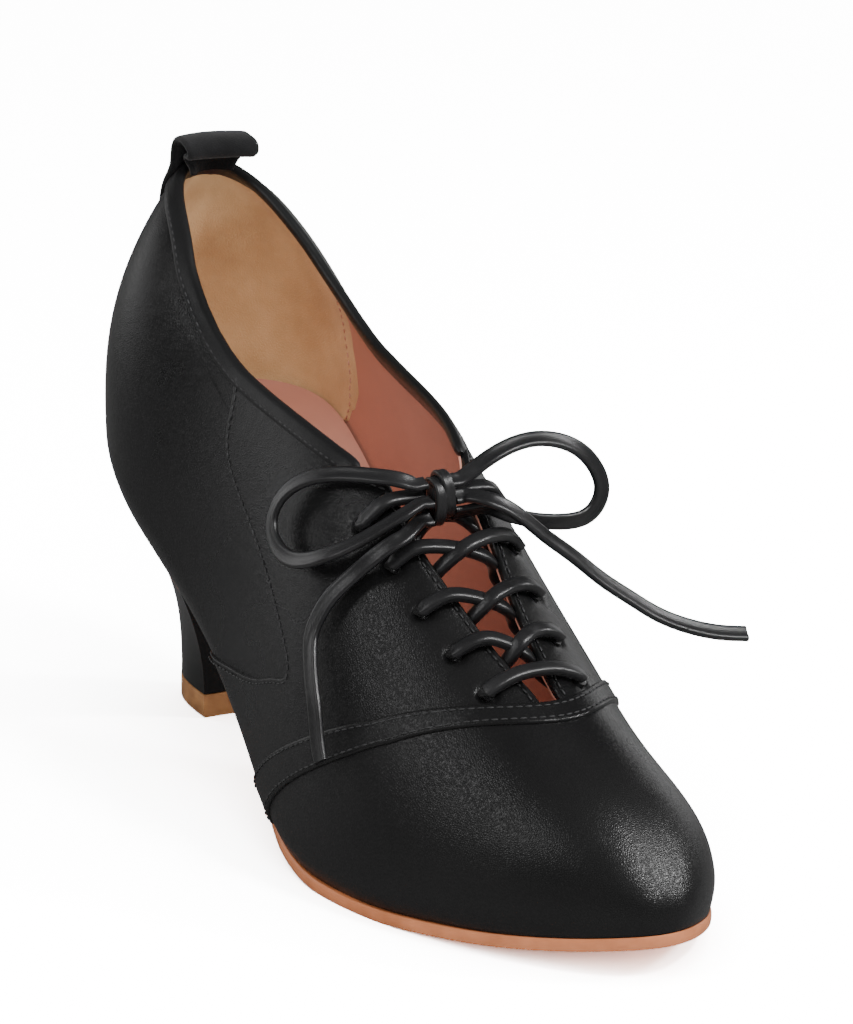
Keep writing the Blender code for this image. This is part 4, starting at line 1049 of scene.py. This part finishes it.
stitches("stitches_grip", rows, PALE_THREAD, pitch=2.2, length=1.5, thickness=0.4)

# %% [markdown]
# The shoe stands on a plain pale floor, lit like a catalogue picture: a wide soft light above and to the front
# left, a second one on the right, and a bright surround.
# %% Floor and light
def plain(name, colour, rough):
    m = bpy.data.materials.new(name)
    m.use_nodes = True
    m.node_tree.nodes["Principled BSDF"].inputs["Base Color"].default_value = (*colour, 1)
    m.node_tree.nodes["Principled BSDF"].inputs["Roughness"].default_value = rough
    return m


def by_ray(tree, socket, light, seen, mirrored):
    """Socket's value as a light on other things, as seen by the camera, and in reflections."""
    path = tree.nodes.new("ShaderNodeLightPath")
    value = light
    for ray, other in (("Is Camera Ray", seen), ("Is Glossy Ray", mirrored)):
        mix = tree.nodes.new("ShaderNodeMix")
        if ray == "Is Camera Ray":
            mix.inputs["A"].default_value = light
        else:
            tree.links.new(value, mix.inputs["A"])
        mix.inputs["B"].default_value = other
        tree.links.new(path.outputs[ray], mix.inputs["Factor"])
        value = mix.outputs["Result"]
    tree.links.new(value, socket)


FLOOR_SEEN = 7.0                         # the floor is seen as bright as a lit studio sweep
floor_finish = bpy.data.materials.new("pale_floor")
floor_finish.use_nodes = True
tree = floor_finish.node_tree
tree.nodes.remove(tree.nodes["Principled BSDF"])
matt = tree.nodes.new("ShaderNodeBsdfDiffuse")
tree.links.new(matt.outputs["BSDF"], tree.nodes["Material Output"].inputs["Surface"])
by_ray(tree, matt.inputs["Color"], 0.85, FLOOR_SEEN, 0.1)
mesh = bpy.data.meshes.new("floor")
mesh.from_pydata([(-6, -6, 0), (6, -6, 0), (6, 6, 0), (-6, 6, 0)], [], [[0, 1, 2, 3]])
mesh.materials.append(floor_finish)
floor = bpy.data.objects.new("floor", mesh)
bpy.context.scene.collection.objects.link(floor)


def soft_light(name, azimuth, elevation, size, power, mirrored=True, distance=1.5):
    """Area light towards the shoe; azimuth 0 is straight off the lateral side, 90 in front of the toe."""
    data = bpy.data.lights.new(name, "AREA")
    data.shape, data.size, data.size_y, data.energy = "RECTANGLE", size[0], size[1], power
    light = bpy.data.objects.new(name, data)
    bpy.context.scene.collection.objects.link(light)
    a, e = math.radians(azimuth), math.radians(elevation)
    z = np.array([math.sin(a) * math.cos(e), -math.cos(a) * math.cos(e), math.sin(e)])
    x = np.array([math.cos(a), math.sin(a), 0.0])
    m = np.eye(4)
    m[:3, 0], m[:3, 1], m[:3, 2], m[:3, 3] = x, np.cross(z, x), z, np.array([0.02, 0.0, 0.06]) + z * distance
    light.matrix_world = Matrix(m.tolist())
    light.visible_glossy = mirrored


soft_light("top_light", 40, 86, (1.6, 1.6), 20.0, mirrored=False)
soft_light("front_light", 62, 40, (1.2, 1.0), 9.0, mirrored=False)
soft_light("left_light", -6, 36, (0.34, 0.5), 2.8)
soft_light("right_light", 116, 50, (0.24, 0.2), 13.0)
soft_light("far_right_light", 152, 31, (0.2, 0.22), 9.0)
soft_light("back_left_light", -62, 8, (0.9, 0.9), 3.2)
soft_light("back_right_light", 212, 9, (0.8, 0.5), 1.6)
world = bpy.data.worlds.new("studio")
bpy.context.scene.world = world
world.use_nodes = True
background = world.node_tree.nodes["Background"]
background.inputs["Color"].default_value = (1, 1, 1, 1)
by_ray(world.node_tree, background.inputs["Strength"], 1.0, 10.0, 0.07)
